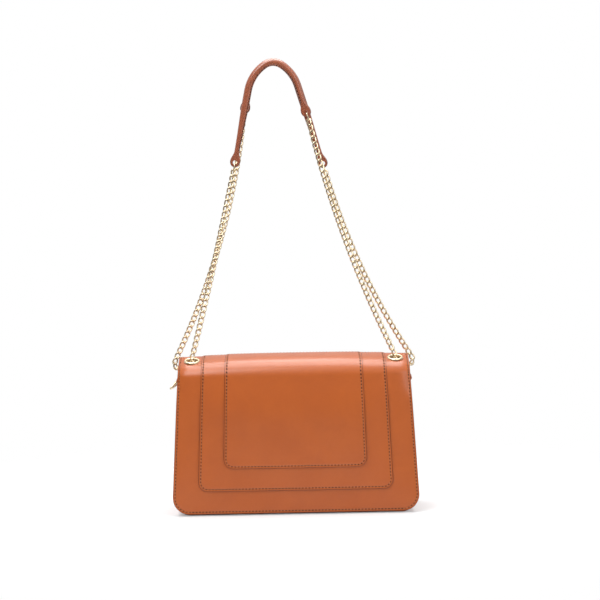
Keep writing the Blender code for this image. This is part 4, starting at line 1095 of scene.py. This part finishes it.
# Flap lining: thinner leather glued under the flap's hanging part, its edges flush with the
# skin's. It covers the backs of the overlays' seams and carries the snap's stud.
BACKING_TANS = ((0.400, 0.140, 0.055), (0.320, 0.105, 0.040))
backing_leather = leather("backing_leather", *BACKING_TANS, 0.7, 0.62, 1.6, 0.0)
LINING_MARGIN = 0.0008
LINING_LOW = FLAP_START + LINING_MARGIN
lining_sheet = Sheet(
    flap_place(-(FLAP_T + FLAP_LINING_T + GAP), LINING_LOW),
    PROFILE_LENGTH - LINING_MARGIN - LINING_LOW,
    lambda along: flap_half(along + LINING_LOW) - LINING_MARGIN,
    None,
    FLAP_CORNER_R - LINING_MARGIN,
)
lining_thick = FLAP_LINING_T + GAP
flap_lining = sew_shape("flap_lining_leather", lining_sheet, lining_thick, 0.004, 0.008, False)
for centre in FLAP_EYELETS.values():
    cut_hole(flap_lining, centre - FLAP_T * seat_normal, seat_normal, FLAP_BARREL_R + GAP)
dress(flap_lining, backing_leather, "flap", "flap_lining", slot="flap_lining_leather")

# Overlays: two smaller panels of the same leather, each sewn all round on the layer below, which
# step in from the flap's edge like a stair. They run from the front over the ridge to the top.
OVERLAY_T = 0.0013
OVERLAY_CORNER_R = 0.010
OVERLAY_TOP_STEP = 0.0040
OVERLAY_HEM_STEP = 0.0225
OVERLAY_SIDE_STEP = 0.0236
OVERLAY_FLARE = 0.0019
OVERLAY_SINK = 0.00004
OVERLAY_PRESSED = 0.62
OVERLAY_THICK = OVERLAY_T + GAP + OVERLAY_SINK
for level, node in enumerate(("flap_overlay_mid", "flap_overlay_inner"), 1):
    low = FLAP_START + level * OVERLAY_TOP_STEP
    base = (level - 1) * (OVERLAY_T + GAP) - OVERLAY_SINK
    overlay_place = flap_place(base, low, OVERLAY_PRESSED)

    def overlay_half(along):
        below_ridge = max(0.0, along + low - UPPER_LENGTH) / FRONT_LENGTH
        return flap_half(along + low) - level * (OVERLAY_SIDE_STEP + OVERLAY_FLARE * below_ridge)

    length = PROFILE_LENGTH - level * OVERLAY_HEM_STEP - low
    outline = Sheet(overlay_place, length, overlay_half, OVERLAY_CORNER_R, OVERLAY_CORNER_R)
    panel = sew_shape(node + "_leather", outline, OVERLAY_THICK)
    dress(panel, flap_leather, "flap", node)
    sewn_seam(node, overlay_place, outline.stitch_line(), OVERLAY_THICK - GROOVE_DEPTH, "flap")

# Flap eyelets: larger brass rims of the same kind, rolled over steel washers. They go through the
# flap and its lining on the flat seat behind the ridge, and the chain is led through them.
for side, word in SIDES.items():
    place = (FLAP_EYELETS[side], seat_normal, FLAP_EYELET_R)
    eyelet(f"flap_eyelet_{word}", *place, FLAP_BORE_R, FLAP_EYELET_DOME, FLAP_STACK, "flap")
    washer(f"flap_washer_{word}", *place, FLAP_BARREL_R, FLAP_STACK, "flap")

# Magnetic snap: a pressed socket riveted to the front panel through a steel washer, and a stud
# with a small nub on the flap's lining that drops into it. Both are plated pale gold.
SNAP_Z = 0.050
SNAP_R = 0.0090
SNAP_MALE_T = 0.0013
SNAP_FEMALE_T = 0.0019
SNAP_SOCKET_R = 0.0034
SNAP_SOCKET_DEPTH = 0.0014
SNAP_NUB_R = 0.0025
SNAP_NUB_TIP_R = 0.0017
SNAP_NUB_LENGTH = 0.0010
SNAP_SHANK_R = 0.0025
SNAP_WASHER_R = 0.0070
SNAP_ROUND = 0.0004
snap_axis = (on_flap(0, PROFILE_LENGTH, FLAP_T) - on_flap(0, PROFILE_LENGTH, 0)).normalized()


def snap_centre(depth):
    """Point on the snap's axis, a depth inside the flap's outer face."""
    return Vector((0, front_y(SNAP_Z, 0), SNAP_Z)) - depth * snap_axis


r = SNAP_ROUND
wide = 2 * r
top = GAP + SNAP_FEMALE_T
floor_height = top - SNAP_SOCKET_DEPTH
back = -(PANEL_T + GAP + WASHER_T)
outline = [(0, floor_height), (SNAP_SOCKET_R - r, floor_height), (SNAP_SOCKET_R, floor_height + r)]
outline += arc(SNAP_SOCKET_R + r / 2, top - r / 2, r / 2, 180, 90, 4)
outline += arc(SNAP_R - wide, top - wide, wide, 90, 0) + [(SNAP_R, GAP)]
outline += [(SNAP_SHANK_R, GAP), (SNAP_SHANK_R, back), (0, back)]
place = (snap_centre(FRONT_DEPTH), snap_axis)
turned("snap_socket", outline, *place, "pouch")
washer("snap_washer", *place, SNAP_WASHER_R, SNAP_SHANK_R, PANEL_T, "pouch")
top = GAP + SNAP_MALE_T
tip = top + SNAP_NUB_LENGTH
outline = [(0, GAP)] + arc(SNAP_R - wide, GAP + wide, wide, -90, 0)
outline += arc(SNAP_R - r / 2, top - r / 2, r / 2, 0, 90, 3)
outline += [(SNAP_NUB_R, top)] + arc(SNAP_NUB_TIP_R, tip - r, r, 0, 90, 4) + [(0, tip)]
turned("snap_stud", outline, snap_centre(FLAP_STACK), -snap_axis, "flap")

# Lining: a bag of plain woven cloth, sewn in along the top of the panels, with a flat slip
# pocket on its back. Its front, sides and corners hang a little loose and pucker.
LINING_TOP = 0.120
LINING_INSET = 0.0038
LINING_DEPTH = 0.0111
LINING_BACK_Y = 0.028
LINING_T = 0.0008
LINING_SEWN = 0.02
LINING_STEP = 0.005
LOOSE_SIDE = (0.092, 0.106)
LOOSE_FRONT = (0.0, 0.35)
POCKET_HALF = 0.0600
POCKET_LOW = 0.0400
POCKET_HIGH = 0.1050
POCKET_DEPTH = 0.0055
POCKET_CORNER_R = 0.006
POCKET_MOUTH = 0.03
PUCKER = 0.0014
POCKET_PUCKER = 0.0006
BAG_COLUMNS = 56
BAG_LEVELS = 9
YARN_PITCH = 0.0011
WARP = (0.330, 0.165, 0.095)
WEFT = (0.240, 0.115, 0.062)


def woven_cloth(name, warp, weft, pitch):
    """A plain weave: two crossed sets of yarns, each with its own tone, and a soft fuzz."""
    material, tree, shader = nodes_of(name)
    where = coordinates(tree, "Object")
    yarns = {"Vector": where, "Scale": math.tau / pitch / 20, "Distortion": 0.6}
    sets = [add(tree, "ShaderNodeTexWave", yarns, bands_direction=way) for way in "XZ"]
    knit = maths(tree, "MULTIPLY", *(yarn.outputs["Fac"] for yarn in sets))
    worn = spread(tree, noisy(tree, where, 30.0, 4.0), 0.0, 1.0, 0.0, 0.4, smooth=False)
    dark = tuple(c * 0.6 for c in weft)
    height = maths(tree, "MULTIPLY_ADD", noisy(tree, where, 1600.0, 4.0), 0.4, knit)
    feed(tree, shader, {
        "Base Color": blended(tree, worn, blended(tree, knit, weft, warp), dark),
        "Normal": bumped(tree, height, 0.5, 0.0001),
        "Roughness": 0.9,
        "Specular IOR Level": 0.25,
        "Sheen Weight": 0.15,
    })
    return material


def cloth_bag(name, sheet, near, far, has_back, pucker):
    """An open-topped bag of cloth between a near and a far face, puckered inwards."""
    rows = sheet.rows(LINING_STEP)
    last = len(rows) - 1
    points = []
    spots = {}
    for level in range(BAG_LEVELS + 1):
        for row, along in enumerate(rows):
            for column in range(BAG_COLUMNS + 1):
                on_face = level == 0 or (level == BAG_LEVELS and has_back)
                on_strip = row == last or column in (0, BAG_COLUMNS)
                if not (on_face or on_strip):
                    continue
                across = sheet.end_half(along) * (2 * column / BAG_COLUMNS - 1)
                z = sheet.place(along)
                y = near(z) + (far - near(z)) * level / BAG_LEVELS
                spots[level, row, column] = len(points)
                points.append(pucker(Vector((across, y, z)), level / BAG_LEVELS))
    faces = []
    for level in ((0, BAG_LEVELS) if has_back else (0,)):
        for row in range(last):
            for column in range(BAG_COLUMNS):
                square = ((0, 0), (0, 1), (1, 1), (1, 0))
                faces.append([spots[level, row + r, column + c] for r, c in square])
    rim = [(row, 0) for row in range(last)] + [(last, column) for column in range(BAG_COLUMNS + 1)]
    rim += [(row, BAG_COLUMNS) for row in reversed(range(last))]
    for level in range(BAG_LEVELS):
        for a, b in zip(rim, rim[1:]):
            corners = ((level, *a), (level, *b), (level + 1, *b), (level + 1, *a))
            faces.append([spots[corner] for corner in corners])
    bag = mesh_object(name, points, faces)
    modified(bag, "SOLIDIFY", thickness=LINING_T, offset=-1, use_even_offset=True)
    return bag


def rippled(x, y, z):
    """Smooth noise between 0 and 1."""
    return 0.5 + 0.5 * noise.noise(Vector((x, y, z)))


def lining_pucker(point, depth_share):
    """Push a point of the lining inwards, most on the loose front and sides."""
    loose = 1 - eased(LINING_TOP - LINING_SEWN, LINING_TOP, point.z)
    wave = rippled(point.x * 42, depth_share * 2.0, point.z * 34)
    fold = rippled(point.x * 95 + 7, depth_share * 3.0 + 3, point.z * 60)
    amount = PUCKER * loose * (0.7 * wave + 0.3 * fold)
    front = 1 - eased(*LOOSE_FRONT, depth_share)
    side = eased(*LOOSE_SIDE, abs(point.x)) * (1 - depth_share)
    return point + Vector((-math.copysign(side * amount, point.x), front * amount, 0))


def pocket_pucker(point, depth_share):
    """The slip pocket gapes a little at its mouth."""
    mouth = eased(POCKET_HIGH - POCKET_MOUTH, POCKET_HIGH, point.z)
    flat = 1 - mouth * (1 - (point.x / POCKET_HALF) ** 2)
    wave = rippled(point.x * 60, 5.0, point.z * 45)
    return point + Vector((0, POCKET_PUCKER * flat * wave * (1 - depth_share), 0))


lining_cloth = woven_cloth("lining_cloth", WARP, WEFT, YARN_PITCH)
lining_outline = Sheet(
    lambda along: LINING_TOP - along,
    LINING_TOP - LINING_INSET,
    lambda along: side_x(LINING_TOP - along, LINING_INSET),
    None,
    POUCH_CORNER_R - LINING_INSET,
)
lining_faces = (lambda z: front_y(z, LINING_DEPTH), LINING_BACK_Y, True)
lining = cloth_bag("lining_bag", lining_outline, *lining_faces, lining_pucker)
dress(lining, lining_cloth, "pouch", "lining")
pocket_far = LINING_BACK_Y - LINING_T - GAP
pocket_outline = Sheet(
    lambda along: POCKET_HIGH - along,
    POCKET_HIGH - POCKET_LOW,
    lambda along: POCKET_HALF,
    None,
    POCKET_CORNER_R,
)
pocket_faces = (lambda z: pocket_far - POCKET_DEPTH - LINING_T, pocket_far, False)
pocket = cloth_bag("slip_pocket_cloth", pocket_outline, *pocket_faces, pocket_pucker)
dress(pocket, lining_cloth, "pouch", "slip_pocket")

# Curb chain: links of brass wire, each twisted by a quarter turn from end to end so that they
# hook through one another and lie flat, plated pale gold. Each side has a run up from the flap
# eyelet, one up from the gusset eyelet, and a short stretch between the two under the flap.
LINK_PITCH = 0.0060
LINK_WIRE_D = 0.00175
LINK_HALF_WIDTH = 0.00225
LINK_TWIST = math.radians(45)
LINK_STATIONS = 14
LINK_SIDES = 6
PIVOT_RISE = 0.0044
CHAIN_EASE = 0.0085
REAR_CHAIN_X = 0.1212
REAR_CHAIN_START_X = 0.1079
INNER_CHAIN_END_X = 0.1053
INNER_CHAIN_RISE = 0.0008
INNER_CHAIN_DROP = 0.0090
HOOK = 0.0003
ROLL_LINKS = 5
RUN_POINTS = 24
ROUTE_STEPS = 10
SAG_SHARES = {("front", -1): 0.006, ("front", 1): 0.028, ("rear", -1): 0.044, ("rear", 1): 0.040}
ARCH_TOP_Z = 0.4490
ARCH_TOP_X = -0.0149
ARCH_TOP_R = 0.0150
ARCH_SIDE_R = 0.0400
ARCH_TOP_ANGLE = math.radians(34.2)
ARCH_LEFT_ANGLE = math.radians(78.5)
ARCH_RIGHT_ANGLE = math.radians(73)
ARCH_LEG = 0.120
PAD_SPACING = 0.176
PAD_SLIDES = {"front": -0.0245, "rear": 0.0295}
PAD_THICKNESS = 0.0078
PAD_SIDE_GAP = 0.0008
PAD_Y = (PAD_THICKNESS + PAD_SIDE_GAP) / 2
TAB_HOLE_R = 0.0022
TAB_HOLE_IN = 0.0047
PAD_LINK_LENGTH = 0.0092
PAD_LINK_WIDTH = 0.0066
PAD_LINK_WIRE_D = 0.0014
PAD_LINK_SEAT = TAB_HOLE_R - PAD_LINK_WIRE_D / 2 - 2 * GAP
PAD_HOOK = PAD_LINK_WIRE_D / 2 + GAP
ARCH_TURNS = (ARCH_LEFT_ANGLE - ARCH_TOP_ANGLE, 2 * ARCH_TOP_ANGLE, ARCH_RIGHT_ANGLE - ARCH_TOP_ANGLE)
ARCH_RUNS = [
    (ARCH_LEG, 0),
    (ARCH_SIDE_R * ARCH_TURNS[0], ARCH_TURNS[0]),
    (ARCH_TOP_R * ARCH_TURNS[1], ARCH_TURNS[1]),
    (ARCH_SIDE_R * ARCH_TURNS[2], ARCH_TURNS[2]),
    (ARCH_LEG, 0),
]
ARCH_MIDDLE = ARCH_RUNS[0][0] + ARCH_RUNS[1][0] + ARCH_RUNS[2][0] / 2
ARCH_CENTRE = walk(ARCH_RUNS, ARCH_MIDDLE, 0.0, 0.0, ARCH_LEFT_ANGLE)
ARCH_START = (ARCH_TOP_X - ARCH_CENTRE[0], ARCH_TOP_Z - ARCH_CENTRE[1], ARCH_LEFT_ANGLE)
FRONT_PIVOT = seat_centre + PIVOT_RISE * seat_normal
Y_AXIS = Vector((0, 1, 0))


def strap_y(z, half):
    """The two halves of the strap lean together towards the top."""
    rear_foot = (HINGE_Y, HINGE_Z + CHAIN_EASE, PAD_Y)
    foot = (FRONT_PIVOT.y, FRONT_PIVOT.z, -PAD_Y) if half == "front" else rear_foot
    share = max(0.0, (z - foot[1]) / (ARCH_TOP_Z - foot[1]))
    return foot[0] + share * (foot[2] - foot[0])


def on_arch(from_top, half):
    """Point, direction and outward normal of a pad at a distance along the arch."""
    x, z, heading = walk(ARCH_RUNS, ARCH_MIDDLE + from_top, *ARCH_START)
    along = Vector((math.cos(heading), 0, math.sin(heading)))
    out = Vector((-math.sin(heading), 0, math.cos(heading)))
    return Vector((x, strap_y(z, half), z)), along, out


def pad_end(side, half):
    """Hole centre of a pad's tab, and the direction from it towards the chain."""
    hole, along, out = on_arch(PAD_SLIDES[half] + side * PAD_SPACING / 2, half)
    return hole, side * along


def run_top(side, half):
    """Where the last link of a chain run is hooked in its pad link."""
    hole, away = pad_end(side, half)
    return hole + (PAD_LINK_SEAT + PAD_LINK_LENGTH - PAD_LINK_WIRE_D - PAD_HOOK) * away


def hanging(low, high, sag_share, half):
    """Points of a chain run that sags a little towards the middle of the bag."""
    chord = high - low
    inward = Vector((math.copysign(chord.z, chord.x), 0, -abs(chord.x)))
    end_lean = high.y - strap_y(high.z, half)
    points = []
    for k in range(RUN_POINTS + 1):
        share = k / RUN_POINTS
        point = low.lerp(high, share) + 4 * share * (1 - share) * sag_share * inward
        point.y = low.y + strap_y(point.z, half) - strap_y(low.z, half) + share * end_lean
        points.append(point)
    return points


def link_shape():
    """One link along +X: an oval of wire whose plane turns steadily from end to end."""
    half_length = (LINK_PITCH + LINK_WIRE_D) / 2
    points = []
    for k in range(LINK_STATIONS):
        swing = math.tau * k / LINK_STATIONS
        across = LINK_HALF_WIDTH * math.sin(swing)
        twist = LINK_TWIST * math.cos(swing)
        flat = Vector((0, -math.sin(twist), math.cos(twist)))
        points.append(Vector((half_length * math.cos(swing), 0, 0)) + across * flat)
    return wire("link_shape", points, LINK_WIRE_D / 2, LINK_SIDES, phase=0.5)


def chain(node, route, rolls, body):
    """A run of links that roll from a start to a middle and an end angle about the route."""
    count = round(route.length / LINK_PITCH)
    start_roll, middle_roll, end_roll = rolls
    frames = []
    for k in range(count + 1):
        distance = route.length * k / count
        roll = middle_roll
        roll += max(0.0, 1 - k / ROLL_LINKS) * (start_roll - middle_roll)
        roll += max(0.0, 1 - (count - k) / ROLL_LINKS) * (end_roll - middle_roll)
        ends = [route.at(distance + shift)[0] for shift in (-LINK_WIRE_D / 2, LINK_WIRE_D / 2)]
        along = (ends[1] - ends[0]).normalized()
        flat = Y_AXIS.cross(along).normalized()
        frames.append((route.at(distance)[0], Matrix.Rotation(roll, 3, along) @ flat))
    places = []
    for (low, low_flat), (high, high_flat) in zip(frames, frames[1:]):
        places.append(((low + high) / 2, high - low, low_flat + high_flat))
    size = route.length / count / LINK_PITCH
    run = repeated(node + "_links", LINK_SHAPE, places, pale_gold, size)
    dress(run, pale_gold, body, node)


def smooth(points, pieces):
    """A rounded line through a few points."""
    padded = [2 * points[0] - points[1], *points, 2 * points[-1] - points[-2]]
    line = [points[0]]
    for a, b, c, d in zip(padded, padded[1:], padded[2:], padded[3:]):
        for k in range(1, pieces + 1):
            t = k / pieces
            bend = (2 * a - 5 * b + 4 * c - d) * t**2 + (3 * b - a - 3 * c + d) * t**3
            line.append(b + (c - a) * t / 2 + bend / 2)
    return line


def front_route(side):
    """The front run: up from the flap eyelet."""
    pivot = FRONT_PIVOT + Vector((side * FLAP_EYELET_X, 0, 0))
    high = run_top(side, "front")
    low = pivot - HOOK * (high - pivot).normalized()
    return Route(hanging(low, high, SAG_SHARES["front", side], "front"))


def rear_route(side):
    """The rear run: through the gusset eyelet along the hinge line, then up."""
    inner = Vector((side * REAR_CHAIN_START_X, HINGE_Y, HINGE_Z))
    corner = Vector((side * REAR_CHAIN_X, HINGE_Y, HINGE_Z))
    low = corner + Vector((0, 0, CHAIN_EASE))
    before = corner - Vector((side * CHAIN_EASE, 0, 0))
    bend = [inner]
    for k in range(ROUTE_STEPS + 1):
        t = k / ROUTE_STEPS
        bend.append((1 - t) ** 2 * before + 2 * t * (1 - t) * corner + t**2 * low)
    run = hanging(low, run_top(side, "rear"), SAG_SHARES["rear", side], "rear")
    return Route(bend + run[1:])


def inner_route(side):
    """The links between the flap eyelet and the gusset eyelet, under the flap."""
    end = Vector((side * INNER_CHAIN_END_X, HINGE_Y, HINGE_Z))
    start = FLAP_EYELETS[side] + INNER_CHAIN_RISE * seat_normal
    below = FLAP_EYELETS[side] - INNER_CHAIN_DROP * seat_normal
    middle = below.lerp(end, 0.5) - Vector((0, 0, INNER_CHAIN_DROP / 3))
    before = end - Vector((side * INNER_CHAIN_DROP / 2, 0, 0))
    return Route(smooth([start, below, middle, before, end], ROUTE_STEPS))


LINK_SHAPE = link_shape()
for side, word in SIDES.items():
    chain(f"chain_front_{word}", front_route(side), (LINK_TWIST, 0, -LINK_TWIST), "strap_front")
    chain(f"chain_rear_{word}", rear_route(side), (math.pi / 2, 0, -LINK_TWIST), "strap_rear")
    chain(f"chain_inner_{word}", inner_route(side), (LINK_TWIST, LINK_TWIST, LINK_TWIST), "flap")
bpy.data.objects.remove(LINK_SHAPE, do_unlink=True)

# Pad links: plain oval links, bent from thinner brass wire than the curb chain's and plated pale
# gold, that join each shoulder pad's holed tab to the last link of its chain.
PAD_LINK_FACETS = 10
length = (PAD_LINK_LENGTH - PAD_LINK_WIRE_D) / 2
width = (PAD_LINK_WIDTH - PAD_LINK_WIRE_D) / 2
tip = arc(0, length - width, width, 0, 180, 12)
outline = tip + [(-a, -b) for a, b in tip]
for half in PAD_SLIDES:
    for side, word in SIDES.items():
        node = f"pad_link_{half}_{word}"
        hole, away = pad_end(side, half)
        centre = hole + (PAD_LINK_SEAT + length) * away
        points = [centre + a * Y_AXIS + b * away for a, b in outline]
        shape = (PAD_LINK_WIRE_D / 2, PAD_LINK_FACETS, Y_AXIS.cross(away))
        dress(wire(node + "_metal", points, *shape), pale_gold, f"strap_{half}", node)

# Shoulder pads: a strip of red-brown leather rolled round a soft core and sewn along its
# underside, with both ends pressed flat into round tabs that have a punched hole.
TAB_WIDTH = 0.0100
TAB_T = 0.0020
TAB_LENGTH = 0.0140
TAB_SQUARENESS = 0.55
PAD_END_R = 0.0026
PAD_FULL_SHARE = 0.75
PAD_ROLL_SHARES = (0.55, 1.25)
PAD_NECK_SHARES = (0.45, 1.1)
PAD_FACETS = 28
PAD_STEP = 0.0016
PAD_TIP_OFFSETS = (0.00003, 0.0003, 0.0008)
PAD_SEAM_IN = 0.0005
PAD_SEAM_HALF = 0.16
PAD_SEAM_SWING = math.radians(138)
PAD_SEAM_POINTS = 48
PAD_TANS = ((0.330, 0.088, 0.036), (0.235, 0.055, 0.024))
brown_thread = plain_finish("brown_thread", (0.130, 0.038, 0.016), 0.55, *THREAD_LOOKS)
pad_leather = leather("pad_leather", *PAD_TANS, 0.5, 0.30, 0.6, 0.9)


def pad_section(from_tip, half_length):
    """Half width and half thickness of a pad at a distance from its tip, and how far it rolls."""
    round_end = TAB_WIDTH / 2
    cut = max(0.0, round_end - from_tip)
    width = math.sqrt(max(0.0, round_end**2 - cut**2))
    full = eased(TAB_LENGTH, PAD_FULL_SHARE * half_length, from_tip)
    body = PAD_END_R + (PAD_THICKNESS / 2 - PAD_END_R) * full
    rolled, neck = (
        eased(TAB_LENGTH * low, TAB_LENGTH * high, from_tip)
        for low, high in (PAD_ROLL_SHARES, PAD_NECK_SHARES)
    )
    return width + (body - width) * neck, TAB_T / 2 + (body - TAB_T / 2) * rolled, rolled


def squared(value, squareness):
    """A cosine or sine that is pushed out towards a square."""
    return math.copysign(abs(value) ** squareness, value)


def shoulder_pad(half):
    """One pad along its arch, with the seams on its faces."""
    half_length = PAD_SPACING / 2 + TAB_HOLE_IN
    count = round(2 * half_length / PAD_STEP)
    places = {half_length * (2 * k / count - 1) for k in range(1, count)}
    for offset in PAD_TIP_OFFSETS:
        places |= {offset - half_length, half_length - offset}
    rings = []
    insets = []
    for place in sorted(places):
        centre, along, out = on_arch(PAD_SLIDES[half] + place, half)
        from_tip = half_length - abs(place)
        wide, thick, rolled = pad_section(from_tip, half_length)
        squareness = TAB_SQUARENESS + (1 - TAB_SQUARENESS) * rolled
        ring = []
        for k in range(PAD_FACETS):
            swing = math.tau * k / PAD_FACETS
            a = squared(math.cos(swing), squareness)
            b = squared(math.sin(swing), squareness)
            seam = PAD_SEAM_IN * rolled * math.exp(-(((swing - math.pi) / PAD_SEAM_HALF) ** 2))
            ring.append(centre + (wide * a + seam) * out + thick * b * Y_AXIS)
            edge = min(wide * (1 - abs(a)), from_tip)
            insets.append(FAR_IN * rolled + (1 - rolled) * edge)
        rings.append(ring)
    pad = lofted(f"pad_{half}_leather", rings, insets=insets)
    for side in SIDES:
        cut_hole(pad, pad_end(side, half)[0], Y_AXIS, TAB_HOLE_R, PAD_THICKNESS)
    reach = half_length - TAB_LENGTH
    line = [(0, reach * (2 * k / PAD_SEAM_POINTS - 1)) for k in range(PAD_SEAM_POINTS + 1)]
    for face, facing in (("front", -1), ("back", 1)):

        def beside_seam(across, along, height):
            centre, heading, out = on_arch(PAD_SLIDES[half] + along, half)
            wide, thick, rolled = pad_section(half_length - abs(along), half_length)
            swing = PAD_SEAM_SWING + across / wide
            point = centre + (wide + height) * math.cos(swing) * out
            return point + facing * (thick + height) * math.sin(swing) * Y_AXIS

        seam = (f"pad_{half}_{face}", beside_seam, line, -GROOVE_DEPTH / 2)
        sewn_seam(*seam, f"strap_{half}", brown_thread)
    return pad


pads = {half: shoulder_pad(half) for half in PAD_SLIDES}
for shape in (stitch_shape, hole_shape):
    bpy.data.objects.remove(shape, do_unlink=True)
for half, pad in pads.items():
    dress(pad, pad_leather, f"strap_{half}", f"pad_{half}")
